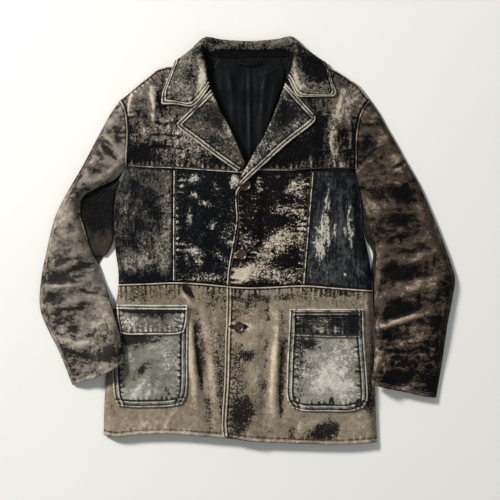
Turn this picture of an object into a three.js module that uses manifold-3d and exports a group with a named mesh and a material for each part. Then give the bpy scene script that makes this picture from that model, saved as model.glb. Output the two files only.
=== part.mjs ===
// A worn leather coat laid flat on its back. Millimetres, +Z up, +Y towards the collar.
// Sides are the wearer's: the wearer's right lies at -X.
import * as THREE from 'three';
import Module from 'manifold-3d';

const wasm = await Module();
wasm.setup();

// driving dimensions
const leather = 2;
const lapelWall = 2.4;
const liningWall = 1.2;
const stackGap = 0.35;
const seamInset = 0.2;
const edgeLift = 2.4;
const lapLift = 3.4;
const bodyRise = 10;
const bodyDome = 4;
const bodyRoll = 18;
const sleeveRise = 13;
const sleeveDome = 8;
const sleeveRoll = 20;
const rightOverBody = 23.5;
const leftOverBody = 17;
const cuffFlat = 9;
const foldWall = 1.6;
const buttonRadius = 11;
const buttonHeight = 4;
const topButton = [-3, 109];
const middleButton = [-11, -29];
const lowerButton = [-17, -173];

// small helpers
const clamp = (x, a, b) => Math.min(b, Math.max(a, x));
const lerp = (a, b, t) => a + (b - a) * t;
const ease = (a, b, x) => {
  const t = clamp((x - a) / (b - a), 0, 1);
  return t * t * (3 - 2 * t);
};

// outlines, each a smooth line through hand-placed points [x, y]
const line = (points) => {
  const knots = points.map(([x, y]) => new THREE.Vector3(x, y, 0));
  const curve = new THREE.CatmullRomCurve3(knots, false, 'centripetal');
  curve.arcLengthDivisions = 300;
  return (t) => curve.getPointAt(clamp(t, 0, 1));
};
const part = (curve, from, to) => (t) => curve(lerp(from, to, t));
const where = (curve, axis, value) => {
  let [a, b] = [0, 1];
  const up = curve(1)[axis] > curve(0)[axis];
  for (let i = 0; i < 30; i += 1) {
    const m = (a + b) / 2;
    if ((curve(m)[axis] < value) === up) a = m;
    else b = m;
  }
  return (a + b) / 2;
};

const rightArmhole = line([[-254, 281], [-246, 268], [-241, 252], [-238, 224], [-238, 198],
  [-240, 170], [-241, 149]]);
const leftArmhole = line([[245, 281], [233, 267], [226, 253], [220, 232], [216, 198], [216, 170],
  [216, 144]]);
const rightShoulder = line([[-254, 281], [-232, 300], [-194, 331], [-179, 342], [-142, 350],
  [-114, 358], [-92, 362]]);
const leftShoulder = line([[245, 281], [220, 312], [206, 321], [176, 340], [142, 352], [118, 361],
  [96, 367]]);
const rightSide = line([[-241, 149], [-245, 134], [-258, 104], [-265, 62], [-266, 31], [-264, -21],
  [-259, -56], [-258, -88], [-263, -129], [-274, -210], [-282, -266], [-286, -320], [-288, -390]]);
const leftSide = line([[216, 144], [219, 118], [226, 85], [231, 27], [245, -40], [250, -88], [252, -198],
  [256, -289], [260, -404]]);
const rightHem = line([[-288, -390], [-257, -393], [-223, -389], [-154, -387], [-74, -393],
  [-34, -396], [6, -399]]);
const leftHem = line([[-49, -390], [-4, -400], [46, -404], [77, -405], [190, -408], [260, -404]]);
const rightYokeSeam = line([[-241, 147], [-201, 144], [-145, 142], [-84, 138], [-17, 134], [6, 133]]);
const leftYokeSeam = line([[0, 137], [40, 138], [101, 137], [158, 139], [216, 139]]);
const rightChestSeam = line([[-147, 142], [-148, 27], [-148, -84]]);
const leftChestSeam = line([[133, 138], [124, 27], [114, -90]]);
const rightWaist = line([[-258, -88], [-199, -86], [-148, -84], [-94, -86], [-42, -91], [6, -94]]);
const leftWaist = line([[-41, -92], [6, -94], [44, -93], [113, -90], [180, -95], [250, -100]]);
const frontEdgeLow = line([[-41, -92], [-42, -150], [-44, -200], [-46, -280], [-51, -370], [-49, -390]]);
const rightRoll = line([[-72, 299], [-52, 257], [-31, 216], [-16, 182], [-3, 153]]);
const leftRoll = line([[76, 312], [63, 277], [40, 221], [7, 162], [-6, 139], [-14, 125], [-19, 110]]);
const rightLapelEdge = line([[-141, 232], [-136, 223], [-102, 197], [-67, 170], [-38, 149], [-20, 137]]);
const leftLapelEdge = line([[137, 245], [134, 236], [81, 193], [25, 142], [-9, 111]]);
const rightSleeveOuter = line([[-254, 281], [-276, 249], [-300, 205], [-330, 148], [-358, 100], [-381, 56],
  [-392, 22], [-402, -23], [-411, -67], [-416, -119], [-413, -144], [-398, -181], [-378, -220],
  [-350, -290]]);
const rightSleeveInner = line([[-241, 149], [-249, 137], [-268, 119], [-300, 104], [-327, 87], [-336, 70],
  [-335, 52], [-330, 33], [-313, -17], [-297, -50], [-283, -93], [-263, -153], [-246, -216], [-245, -241]]);
const rightSleeveUnder = line([[-241, 149], [-247, 137], [-256, 118], [-264, 98], [-268, 70], [-269, 45],
  [-269, 22], [-269, 2], [-276, -18], [-294, -50], [-283, -93], [-263, -153], [-246, -216], [-245, -241]]);
const rightSleeveFloor = line([[-241, 149], [-250, 134], [-261, 116], [-269, 96], [-273, 70], [-274, 45],
  [-274, 22], [-274, 2], [-281, -20], [-297, -50], [-283, -93], [-263, -153], [-246, -216], [-245, -241]]);
const rightCuff = line([[-350, -290], [-313, -277], [-280, -264], [-261, -254], [-245, -241]]);
const leftSleeveOuter = line([[245, 281], [262, 257], [278, 228], [300, 190], [318, 157], [345, 110],
  [369, 55], [391, 0], [408, -47], [416, -76], [410, -122], [402, -163], [390, -245], [378, -316]]);
const leftSleeveInner = line([[216, 144], [221, 118], [231, 78], [242, 38], [252, 0], [258, -30],
  [256, -59], [254, -90], [253.5, -122], [254, -163], [254.5, -194], [252, -245], [246, -287]]);
const leftCuff = line([[378, -316], [346, -311], [316, -304], [282, -297], [246, -287]]);

// the largest folds: [x1, y1, x2, y2, height, width]; a trough has a negative height
const bodyFolds = [
  [-138, -84, -112, -132, 3.5, 8], [-106, -130, -72, -388, -4, 9], [-117, -110, -98, -388, 4, 8],
  [-88, -112, -56, -388, 4.5, 10], [-140, -335, -160, -385, 2.5, 7], [64, -130, 46, -360, 4.5, 10],
  [74, -190, 66, -385, -3, 8], [40, -100, 34, -170, -2.5, 10], [-60, -130, -62, -300, 2, 14],
  [-194, 318, -186, 225, 3.5, 11], [-231, 299, -239, 240, 2, 6], [196, 300, 176, 190, 3.5, 12],
  [-200, 120, -206, -60, 2.5, 14], [-100, 120, -80, -70, 2, 18], [60, 110, 70, -80, 2.5, 16],
  [176, 110, 200, -70, 3, 14], [-225, 215, -150, 200, 2.5, 10], [110, -112, 240, -122, 2, 8],
  [-120, 240, -150, 170, 2.5, 10], [120, 225, 150, 160, 2.5, 12], [36, -180, 30, -380, -2.5, 12],
];
const rightSleeveFolds = [
  [-414, -58, -302, -42, 5, 10], [-418, -105, -290, -66, 4.5, 10], [-398, 12, -318, 2, 3.5, 10],
  [-246, 162, -292, 228, 4, 9], [-252, 146, -322, 158, 3, 9], [-300, 190, -330, 92, 3, 10],
  [-414, -140, -276, -112, 3.5, 10], [-372, -225, -256, -178, 3, 10], [-402, -180, -330, -150, -3, 9],
];
const leftSleeveFolds = [
  [262, -175, 382, -130, 5, 8], [256, -58, 400, -14, 4.5, 11], [258, -112, 404, -78, 4, 10],
  [222, 146, 280, 200, 4, 9], [224, 112, 335, 118, 3.5, 10], [236, 70, 360, 64, 3.5, 11],
  [262, -218, 392, -186, 3.5, 10], [252, 10, 380, 22, 3, 9], [264, -262, 372, -250, 2.5, 10],
];

const foldHeight = (folds, x, y) => folds.reduce((sum, [x1, y1, x2, y2, height, width]) => {
  const [dx, dy] = [x2 - x1, y2 - y1];
  const t = ((x - x1) * dx + (y - y1) * dy) / (dx * dx + dy * dy);
  if (t <= 0 || t >= 1) return sum;
  const off = ((x - x1) * dy - (y - y1) * dx) / Math.hypot(dx, dy);
  return sum + height * Math.min(1, 4 * t * (1 - t)) * Math.exp(-((off / width) ** 2));
}, 0);

// distance to the free edges of a layer, over which it rolls down to the layer below
const edgeOf = (...curves) => curves.map((curve) => Array.from({ length: 61 }, (_, i) => curve(i / 60)));
const distance = (edges, x, y) => {
  let best = Infinity;
  for (const edge of edges) {
    for (let i = 0; i + 1 < edge.length; i += 1) {
      const [dx, dy] = [edge[i + 1].x - edge[i].x, edge[i + 1].y - edge[i].y];
      const t = clamp(((x - edge[i].x) * dx + (y - edge[i].y) * dy) / (dx * dx + dy * dy), 0, 1);
      best = Math.min(best, Math.hypot(x - edge[i].x - t * dx, y - edge[i].y - t * dy));
    }
  }
  return best;
};
const bodyEdges = edgeOf(rightShoulder, leftShoulder, rightSide, leftSide, part(rightSleeveOuter, 0, 0.1),
  part(leftSleeveOuter, 0, 0.1));
const rightSleeveEdges = edgeOf(rightSleeveOuter, rightSleeveInner, rightShoulder);
const leftSleeveEdges = edgeOf(leftSleeveOuter, leftSleeveInner, leftShoulder);
const rightLitEdge = edgeOf(part(rightSleeveInner, 0, 0.62));
const sideEdges = edgeOf(rightSide, leftSide);

const roll = (d, width) => Math.sin((Math.PI / 2) * Math.min(1, d / width));
const dome = (d) => 1 - Math.exp(-d / 60);

// the back lies flat, and climbs over the fall of the collar under it
const fallHalf = 146;
const collarUnder = 3;
const backTop = (x, y) => {
  const aside = ease(fallHalf + 40, fallHalf, Math.abs(x - 4));
  return leather + collarUnder * aside * ease(268, 304, y);
};

// the front's outer face
const lap = (x, side) => (side > 0 ? lapLift * ease(34, 10, x) : 0);
const front = (side) => (x, y) => {
  const d = distance(bodyEdges, x, y);
  const folds = foldHeight(bodyFolds, x, y) * roll(d, 30);
  const puff = bodyRise * roll(d, bodyRoll) + bodyDome * dome(d) + folds;
  return backTop(x, y) + edgeLift + puff + lap(x, side);
};
// beside the neck the front sinks to the seam of the collar
const neckEdges = edgeOf(line([[-92, 362], [-85, 355], [-86, 340], [-84, 322], [-77, 300]]),
  line([[96, 367], [93, 352], [91, 336], [86, 320], [80, 306]]));
const yoke = (side) => (x, y) => {
  const full = front(side)(x, y);
  const low = backTop(x, y) + 3.5 + 6 * ease(345, 300, y);
  const near = ease(26, 0, distance(neckEdges, x, y)) * ease(292, 312, y);
  return Math.min(full, lerp(full, Math.min(low, full), near));
};

// a sleeve's outer face: it climbs onto the body's side where it lies over it
const overSide = (x, y) => {
  const inside = x < 0 ? x > rightSideX(y) : x < leftSideX(y);
  const d = distance(sideEdges, x, y) * (inside ? 1 : -1);
  if (x < 0) return rightOverBody * ease(-42, 12, d) * ease(-58, -136, y);
  return leftOverBody * ease(-42, 8, d) * ease(-150, -215, y);
};
const sideX = (curve) => {
  const points = edgeOf(curve)[0];
  return (y) => {
    const i = clamp(points.findIndex((p) => p.y < y), 1, points.length - 1);
    const t = clamp((y - points[i - 1].y) / (points[i].y - points[i - 1].y), 0, 1);
    return lerp(points[i - 1].x, points[i].x, t);
  };
};
const rightSideX = sideX(rightSide);
const leftSideX = sideX(leftSide);
const droop = (y) => ease(140, 112, y) * ease(-46, -12, y);
const sleeve = (edges, folds, armhole, side) => {
  const seam = edgeOf(armhole);
  return (x, y) => {
    const d = distance(edges, x, y);
    const away = ease(0, 90, distance(seam, x, y));
    const full = lerp(sleeveRise, cuffFlat, ease(-150, -280, y));
    const rise = lerp(bodyRise, full, away) * roll(d, lerp(bodyRoll, sleeveRoll, away));
    const puff = rise + lerp(bodyDome, sleeveDome, away) * dome(d) + foldHeight(folds, x, y) * roll(d, 30);
    const lit = side < 0 ? 6.5 * droop(y) * ease(34, 4, distance(rightLitEdge, x, y)) : 0;
    const lift = overSide(x, y);
    return leather + edgeLift + puff + lit + lift + 1.6 * ease(0, 2.5, lift);
  };
};

// closed shells
const positionsOf = (outer, inner) => {
  const rows = outer.length;
  const columns = outer[0].length;
  const at = (i, j, side) => (side * rows + i) * columns + j;
  const faces = [];
  const quad = (a, b, c, d) => faces.push(a, b, c, a, c, d);
  for (let i = 0; i + 1 < rows; i += 1) {
    for (let j = 0; j + 1 < columns; j += 1) {
      quad(at(i, j, 0), at(i + 1, j, 0), at(i + 1, j + 1, 0), at(i, j + 1, 0));
      quad(at(i, j, 1), at(i, j + 1, 1), at(i + 1, j + 1, 1), at(i + 1, j, 1));
    }
  }
  for (let j = 0; j + 1 < columns; j += 1) {
    quad(at(0, j, 0), at(0, j + 1, 0), at(0, j + 1, 1), at(0, j, 1));
    quad(at(rows - 1, j + 1, 0), at(rows - 1, j, 0), at(rows - 1, j, 1), at(rows - 1, j + 1, 1));
  }
  for (let i = 0; i + 1 < rows; i += 1) {
    quad(at(i + 1, 0, 0), at(i, 0, 0), at(i, 0, 1), at(i + 1, 0, 1));
    quad(at(i, columns - 1, 0), at(i + 1, columns - 1, 0), at(i + 1, columns - 1, 1), at(i, columns - 1, 1));
  }
  return { points: [...outer.flat(), ...inner.flat()], faces };
};
const volume = (points, faces) => {
  let sum = 0;
  for (let i = 0; i < faces.length; i += 3) {
    const [a, b, c] = [points[faces[i]], points[faces[i + 1]], points[faces[i + 2]]];
    sum += a.dot(new THREE.Vector3().crossVectors(b, c)) / 6;
  }
  return sum;
};
const shellOf = (outer, inner) => {
  const { points, faces } = positionsOf(outer, inner);
  if (volume(points, faces) < 0) faces.reverse();
  return { points, faces };
};
const joined = (...shells) => {
  const solids = shells.map(({ points, faces }) => new wasm.Manifold(new wasm.Mesh({
    numProp: 3,
    vertProperties: new Float32Array(points.flatMap((p) => [p.x, p.y, p.z])),
    triVerts: new Uint32Array(faces),
  })));
  const mesh = wasm.Manifold.union(solids).getMesh();
  const points = Array.from({ length: mesh.numVert }, (_, i) => new THREE.Vector3().fromArray(
    mesh.vertProperties,
    i * mesh.numProp,
  ));
  return { points, faces: [...mesh.triVerts] };
};
const coat = new THREE.Group();
const add = (name, geometry, look) => {
  const mesh = new THREE.Mesh(geometry, new THREE.MeshStandardMaterial(look));
  mesh.name = name;
  coat.add(mesh);
};
const addShell = (name, { points, faces }, look) => {
  const geometry = new THREE.BufferGeometry().setFromPoints(points);
  geometry.setIndex(faces);
  geometry.computeVertexNormals();
  add(name, geometry, look);
};

// a grid in plan between four lines, each sampled at its own steps
const steps = (count, start = 0, end = 0) => Array.from({ length: count + 1 }, (_, i) => {
  const t = i / count;
  const eased = start && end ? t * t * (3 - 2 * t) : start ? t ** 1.5 : end ? 1 - (1 - t) ** 1.5 : t;
  return lerp(t, eased, Math.max(start, end));
});
const plan = (top, bottom, left, right, us, vs) => vs.map((v) => us.map((u) => {
  const [a, b, c, d] = [top(0), top(1), bottom(0), bottom(1)];
  const [t, o, l, r] = [top(u), bottom(u), left(v), right(v)];
  const corners = (k) => lerp(lerp(a[k], b[k], u), lerp(c[k], d[k], u), v);
  const mix = (k) => lerp(t[k], o[k], v) + lerp(l[k], r[k], u) - corners(k);
  return new THREE.Vector3(mix('x'), mix('y'), 0);
}));
const pull = (grid, amount) => {
  const towards = (p, q) => p.add(q.clone().sub(p).setLength(amount));
  for (const row of grid) {
    towards(row[0], row[1]);
    towards(row.at(-1), row.at(-2));
  }
  grid[0].forEach((p, j) => towards(p, grid[1][j]));
  grid.at(-1).forEach((p, j) => towards(p, grid.at(-2)[j]));
  return grid;
};
const normalOf = (height, x, y) => new THREE.Vector3(
  height(x - 1, y) - height(x + 1, y),
  height(x, y - 1) - height(x, y + 1),
  2,
).normalize();
const panel = (grid, height, wall) => {
  const outer = grid.map((row) => row.map((p) => new THREE.Vector3(p.x, p.y, height(p.x, p.y))));
  const under = (p) => p.clone().addScaledVector(normalOf(height, p.x, p.y), -wall);
  const inner = outer.map((row) => row.map(under));
  return shellOf(outer, inner);
};
const addPanel = (name, grid, height, wall, look) => addShell(name, panel(grid, height, wall), look);

// a sheet along any surface p(u, v); the wall goes against its normal, turned by side
const sheet = (surface, us, vs, wall, side) => {
  const grid = vs.map((v) => us.map((u) => surface(u, v)));
  const inner = vs.map((v, i) => us.map((u, j) => {
    const e = 0.004;
    const along = surface(Math.min(1, u + e), v).sub(surface(Math.max(0, u - e), v));
    const down = surface(u, Math.min(1, v + e)).sub(surface(u, Math.max(0, v - e)));
    const normal = along.cross(down).normalize();
    return grid[i][j].clone().addScaledVector(normal, wall * side);
  }));
  return shellOf(grid, inner);
};
const addSheet = (name, surface, us, vs, wall, look, side = 1) => addShell(
  name,
  sheet(surface, us, vs, wall, side),
  look,
);

const leatherLook = (color, roughness = 0.62) => ({ color, roughness, metalness: 0, side: THREE.FrontSide });

// armhole stations shared by the yoke, the sleeve and the back
const armholeSteps = [0, 0.045, 0.11, 0.2, 0.31, 0.44, 0.57, 0.7, 0.81, 0.9, 0.96, 1];

// back and its lining
const backLeft = [
  ...steps(5).slice(0, -1).map((t) => rightShoulder(1 - t)),
  ...armholeSteps.slice(0, -1).map((t) => rightArmhole(t)),
  ...steps(9).map((t) => rightSide(t)),
];
const backRight = [
  ...steps(5).slice(0, -1).map((t) => leftShoulder(1 - t)),
  ...armholeSteps.slice(0, -1).map((t) => leftArmhole(t)),
  ...steps(9).map((t) => leftSide(t)),
];
const neckSeam = line([[-92, 362], [-58, 363], [4, 363], [67, 365], [96, 367]]);
const backHem = line([[-288, -390], [-150, -388], [0, -396], [120, -402], [260, -404]]);
const backSteps = steps(10, 0.5, 0.5);
const backGrid = backLeft.map((l, i) => backSteps.map((u) => {
  const r = backRight[i];
  const p = new THREE.Vector3(lerp(l.x, r.x, u), lerp(l.y, r.y, u), 0);
  const last = i === backLeft.length - 1;
  if (i === 0) p.y = neckSeam(u).y;
  if (last) p.y = backHem(u).y;
  return p;
}));
addPanel('back', pull(backGrid, seamInset), backTop, leather, leatherLook(0x4a4138));

const liningFolds = [
  [4, 356, 6, 150, 2.6, 4], [-34, 340, -22, 160, 2, 8], [36, 340, 26, 170, 2.2, 8],
  [-56, 330, -34, 210, 1.6, 6], [60, 320, 40, 220, 1.8, 7], [-12, 330, -8, 170, 1.2, 7],
];
const lining = (x, y) => backTop(x, y) + stackGap + liningWall + 0.4 + 1.2 * ease(360, 300, y)
  + foldHeight(liningFolds, x, y);
const liningGrid = plan(
  line([[-56, 361], [4, 361], [66, 362.5]]),
  line([[-12, 112], [6, 108], [24, 112]]),
  line([[-56, 361], [-70, 335], [-62, 290], [-38, 225], [-12, 112]]),
  line([[66, 362.5], [74, 335], [62, 290], [40, 225], [24, 112]]),
  steps(12),
  steps(9),
);
addPanel('back_lining', liningGrid, lining, liningWall, { color: 0x0b0c0f, roughness: 0.35, metalness: 0 });

const loopAlong = (u, v) => {
  const bow = Math.sin(Math.PI * u);
  const x = lerp(-17, 29, u);
  const y = 358 - 5 * bow - 6 * v;
  return new THREE.Vector3(x, y, lining(x, 356) + liningWall + 0.6 + 1.6 * bow);
};
addSheet('hanger_loop', loopAlong, steps(8), [0, 1], liningWall, { color: 0x141416, roughness: 0.5 }, 1);

// front panels
const rightYokeInner = line([[-92, 362], [-88, 352], [-88, 340], [-86, 322], [-79.5, 300], [-59, 257],
  [-38, 216], [-23, 182], [-10, 153], [-2, 138], [6, 133]]);
const leftYokeInner = line([[96, 367], [94.5, 352], [92.5, 336], [87.5, 320], [82, 306], [70.5, 277],
  [47, 221], [14, 162], [2, 142], [0, 137]]);
const mirrorPlan = (grid) => grid.map((row) => [...row].reverse());
const yokeSteps = steps(13, 0, 0);
addPanel(
  'right_front_yoke',
  pull(plan(rightShoulder, rightYokeSeam, rightArmhole, rightYokeInner, yokeSteps, armholeSteps), seamInset),
  yoke(-1),
  leather,
  leatherLook(0x6d6252),
);
addPanel(
  'left_front_yoke',
  pull(mirrorPlan(plan(leftShoulder, (t) => leftYokeSeam(1 - t), leftArmhole, leftYokeInner, yokeSteps,
    armholeSteps)), seamInset),
  yoke(1),
  leather,
  leatherLook(0x3b352f),
);

const rightSplit = where(rightYokeSeam, 'x', -147);
const leftSplit = where(leftYokeSeam, 'x', 133);
const rightWaistSplit = where(rightWaist, 'x', -148);
const leftWaistSplit = where(leftWaist, 'x', 114);
const rightSideWaist = where(rightSide, 'y', -88);
const leftSideWaist = where(leftSide, 'y', -100);
const chestRows = steps(12);
addPanel(
  'right_side_chest',
  pull(plan(part(rightYokeSeam, 0, rightSplit), part(rightWaist, 0, rightWaistSplit),
    part(rightSide, 0, rightSideWaist), rightChestSeam, steps(7, 0.8), chestRows), seamInset),
  front(-1),
  leather,
  leatherLook(0x35332f),
);
addPanel(
  'right_centre_chest',
  pull(plan(part(rightYokeSeam, rightSplit, 1), part(rightWaist, rightWaistSplit, 1), rightChestSeam,
    line([[6, 133], [6, 20], [6, -94]]), steps(9), chestRows), seamInset),
  front(-1),
  leather,
  leatherLook(0x1f1f20),
);
const leftCentreInner = line([[0, 137], [-7, 124], [-13, 110], [-22, 98], [-24, 80], [-22, 42], [-25, 18],
  [-30, -11], [-38, -56], [-41, -92]]);
addPanel(
  'left_centre_chest',
  pull(plan(part(leftYokeSeam, 0, leftSplit), part(leftWaist, 0, leftWaistSplit), leftCentreInner,
    leftChestSeam, steps(9), chestRows), seamInset),
  front(1),
  leather,
  leatherLook(0x3c352e),
);
addPanel(
  'left_side_chest',
  pull(plan(part(leftYokeSeam, leftSplit, 1), part(leftWaist, leftWaistSplit, 1), leftChestSeam,
    part(leftSide, 0, leftSideWaist), steps(7, 0, 0.8), chestRows), seamInset),
  front(1),
  leather,
  leatherLook(0x24262a),
);
const rightSkirtInner = line([[6, -94], [6, -250], [6, -399]]);
addPanel(
  'right_skirt',
  pull(plan(rightWaist, rightHem, part(rightSide, rightSideWaist, 1), rightSkirtInner, steps(15, 0.35),
    steps(13)), seamInset),
  front(-1),
  leather,
  leatherLook(0x8a7b62),
);
addPanel(
  'left_skirt',
  pull(plan(leftWaist, leftHem, frontEdgeLow, part(leftSide, leftSideWaist, 1), steps(15, 0, 0.35),
    steps(13)), seamInset),
  front(1),
  leather,
  leatherLook(0x85765d),
);

// patch pockets made from the skirt's own points, moved out, with a raised border
const layer = leather + stackGap;
const above = (height, x, y) => height(x, y) + layer / normalOf(height, x, y).z;
const pocketHeight = (outline, side) => {
  const rim = edgeOf(...outline);
  return (x, y) => {
    const d = distance(rim, x, y);
    return above(front(side), x, y) + 1.6 * ease(2, 26, d) + 0.9 * ease(13, 10, d);
  };
};
const borderSteps = (count) => {
  const inside = steps(count).slice(1, -1).map((t) => 0.1 + 0.8 * t);
  return [0, 0.07, 0.1, ...inside, 0.9, 0.93, 1];
};
const rightPocketSides = [
  line([[-270, -134], [-192, -133], [-118, -133]]),
  line([[-258, -330], [-230, -333], [-200, -333], [-154, -331], [-130, -326]]),
  line([[-270, -134], [-270, -220], [-265, -310], [-258, -330]]),
  line([[-118, -133], [-119, -220], [-122, -310], [-130, -326]]),
];
const leftPocketSides = [
  line([[85, -137], [158, -137], [231, -137]]),
  line([[90, -334], [110, -340], [158, -341], [205, -341], [230, -334]]),
  line([[85, -137], [82, -198], [79, -266], [80, -318], [90, -334]]),
  line([[231, -137], [233, -198], [239, -280], [239, -320], [230, -334]]),
];
const rightPocketTop = pocketHeight(rightPocketSides, -1);
const leftPocketTop = pocketHeight(leftPocketSides, 1);
const pocketGrid = (sides) => plan(...sides, borderSteps(6), borderSteps(7));
addPanel('right_pocket', pocketGrid(rightPocketSides), rightPocketTop, leather, leatherLook(0x8b8a7c));
addPanel('left_pocket', pocketGrid(leftPocketSides), leftPocketTop, leather, leatherLook(0x94938a));

const flapHeight = (sides, under) => {
  const rim = edgeOf(...sides);
  return (x, y) => above(under, x, y) + 0.9 * ease(10, 7, distance(rim, x, y));
};
const rightFlapSides = [
  line([[-260, -128], [-190, -129], [-119, -129]]),
  line([[-252, -185], [-240, -188], [-186, -188], [-140, -187], [-126, -183]]),
  line([[-260, -128], [-258, -160], [-252, -185]]),
  line([[-119, -129], [-121, -165], [-126, -183]]),
];
const leftFlapSides = [
  line([[92, -140], [158, -140], [225, -140]]),
  line([[92, -190], [158, -193], [224, -194]]),
  line([[92, -140], [92, -190]]),
  line([[225, -140], [224, -194]]),
];
const flapGrid = (sides) => plan(...sides, borderSteps(6), steps(4));
const onSkirt = (side, pocket) => (x, y) => Math.max(pocket(x, y), above(front(side), x, y) + 0.9);
addPanel(
  'right_pocket_flap',
  flapGrid(rightFlapSides),
  flapHeight(rightFlapSides, onSkirt(-1, rightPocketTop)),
  leather,
  leatherLook(0x57534a),
);
addPanel(
  'left_pocket_flap',
  flapGrid(leftFlapSides),
  flapHeight(leftFlapSides, onSkirt(1, leftPocketTop)),
  leather,
  leatherLook(0x26251f),
);

// sleeves: a top piece over an under piece that lies on the floor
const sleeveRows = steps(22);
const rightSleeve = sleeve(rightSleeveEdges, rightSleeveFolds, rightArmhole, -1);
const leftSleeve = sleeve(leftSleeveEdges, leftSleeveFolds, leftArmhole, 1);
addPanel(
  'right_top_sleeve',
  pull(plan(rightArmhole, rightCuff, rightSleeveOuter, rightSleeveInner, armholeSteps, sleeveRows),
    seamInset),
  rightSleeve,
  leather,
  leatherLook(0x5a4f43),
);
addPanel(
  'left_top_sleeve',
  pull(mirrorPlan(plan(leftArmhole, leftCuff, leftSleeveOuter, leftSleeveInner, armholeSteps, sleeveRows)),
    seamInset),
  leftSleeve,
  leather,
  leatherLook(0x453b32),
);

// the under pieces lie flat; the right one also folds up beside the body, below the top piece's edge
const underTop = (x, y) => leather + overSide(x, y);
const underRows = steps(16);
addPanel(
  'left_under_sleeve',
  pull(mirrorPlan(plan(leftArmhole, leftCuff, leftSleeveOuter, leftSleeveInner, armholeSteps, underRows)),
    seamInset),
  underTop,
  leather,
  leatherLook(0x2f2924),
);
const rightUnderGrid = pull(plan(rightArmhole, rightCuff, rightSleeveOuter, rightSleeveFloor, armholeSteps,
  underRows), seamInset);
const foldFrom = 0.095;
const foldTo = 0.515;
const foldUp = (u, v) => {
  const i = rightSleeveInner(lerp(foldFrom, foldTo, v));
  const d = rightSleeveUnder(where(rightSleeveUnder, 'y', i.y));
  const deep = Math.min(ease(0, 0.2, v), ease(1, 0.85, v));
  const high = lerp(5, 8.4, deep);
  const radius = high / 2;
  const x = d.x - radius - 0.3;
  const [lead, turn] = [0.12, 0.45];
  const floor = (leather - foldWall) / 2;
  if (u <= lead) return new THREE.Vector3(x - 3 * (1 - u / lead), d.y, floor);
  if (u <= turn) {
    const angle = Math.PI * ((u - lead) / (turn - lead) - 0.5);
    return new THREE.Vector3(x + radius * Math.cos(angle), d.y, floor + radius + radius * Math.sin(angle));
  }
  const k = (u - turn) / (1 - turn);
  const end = Math.min(i.x + lerp(3, -6, deep), x - 2);
  return new THREE.Vector3(lerp(x, end, k), d.y, floor + high - 1.2 * Math.sin(Math.PI * k));
};
addShell(
  'right_under_sleeve',
  joined(
    panel(rightUnderGrid, underTop, leather),
    sheet(foldUp, [0, 0.12, 0.2, 0.285, 0.37, 0.45, 0.58, 0.72, 0.86, 1], steps(12), foldWall, -1),
  ),
  leatherLook(0x2a2622),
);

// lapels: a rolled edge, then a flat lying over the front
const lapel = (rollLine, edge, side) => (u, v) => {
  const [r, e] = [rollLine(v), edge(v)];
  const across = e.clone().sub(r);
  const width = across.length();
  across.normalize();
  const bend = lerp(3.2, 2.2, v);
  const radius = bend + lapelWall / 2;
  const turn = 0.34;
  const height = side < 0 ? front(-1) : front(1);
  const ground = height(r.x + across.x * 8, r.y + across.y * 8);
  const bottom = ground - leather / 2 - lapelWall / 2;
  if (u <= turn) {
    const angle = -Math.PI / 2 - (Math.PI * u) / turn;
    const s = radius + radius * Math.cos(angle);
    const z = bottom + radius + radius * Math.sin(angle);
    return new THREE.Vector3(r.x + across.x * s, r.y + across.y * s, z);
  }
  const k = (u - turn) / (1 - turn);
  const s = lerp(radius, width, k);
  const [x, y] = [r.x + across.x * s, r.y + across.y * s];
  const rest = height(x, y) + stackGap + lapelWall + 0.6;
  const start = bottom + 2 * radius;
  const settle = ease(radius, radius + 26, s);
  const fromButton = (x - topButton[0]) ** 2 + (y - topButton[1]) ** 2;
  const overButton = side > 0 ? 5 * Math.exp(-fromButton / 300) : 0;
  return new THREE.Vector3(x, y, Math.max(lerp(start, rest, settle), rest) + overButton);
};
const lapelAcross = [0, 0.07, 0.14, 0.21, 0.275, 0.34, 0.42, 0.52, 0.64, 0.76, 0.88, 1];
addSheet('right_lapel', lapel(rightRoll, rightLapelEdge, -1), lapelAcross, steps(10), lapelWall,
  leatherLook(0x4f4b42), -1);
addSheet('left_lapel', lapel(leftRoll, leftLapelEdge, 1), lapelAcross, steps(12), lapelWall,
  leatherLook(0x3d3a34), 1);

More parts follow.
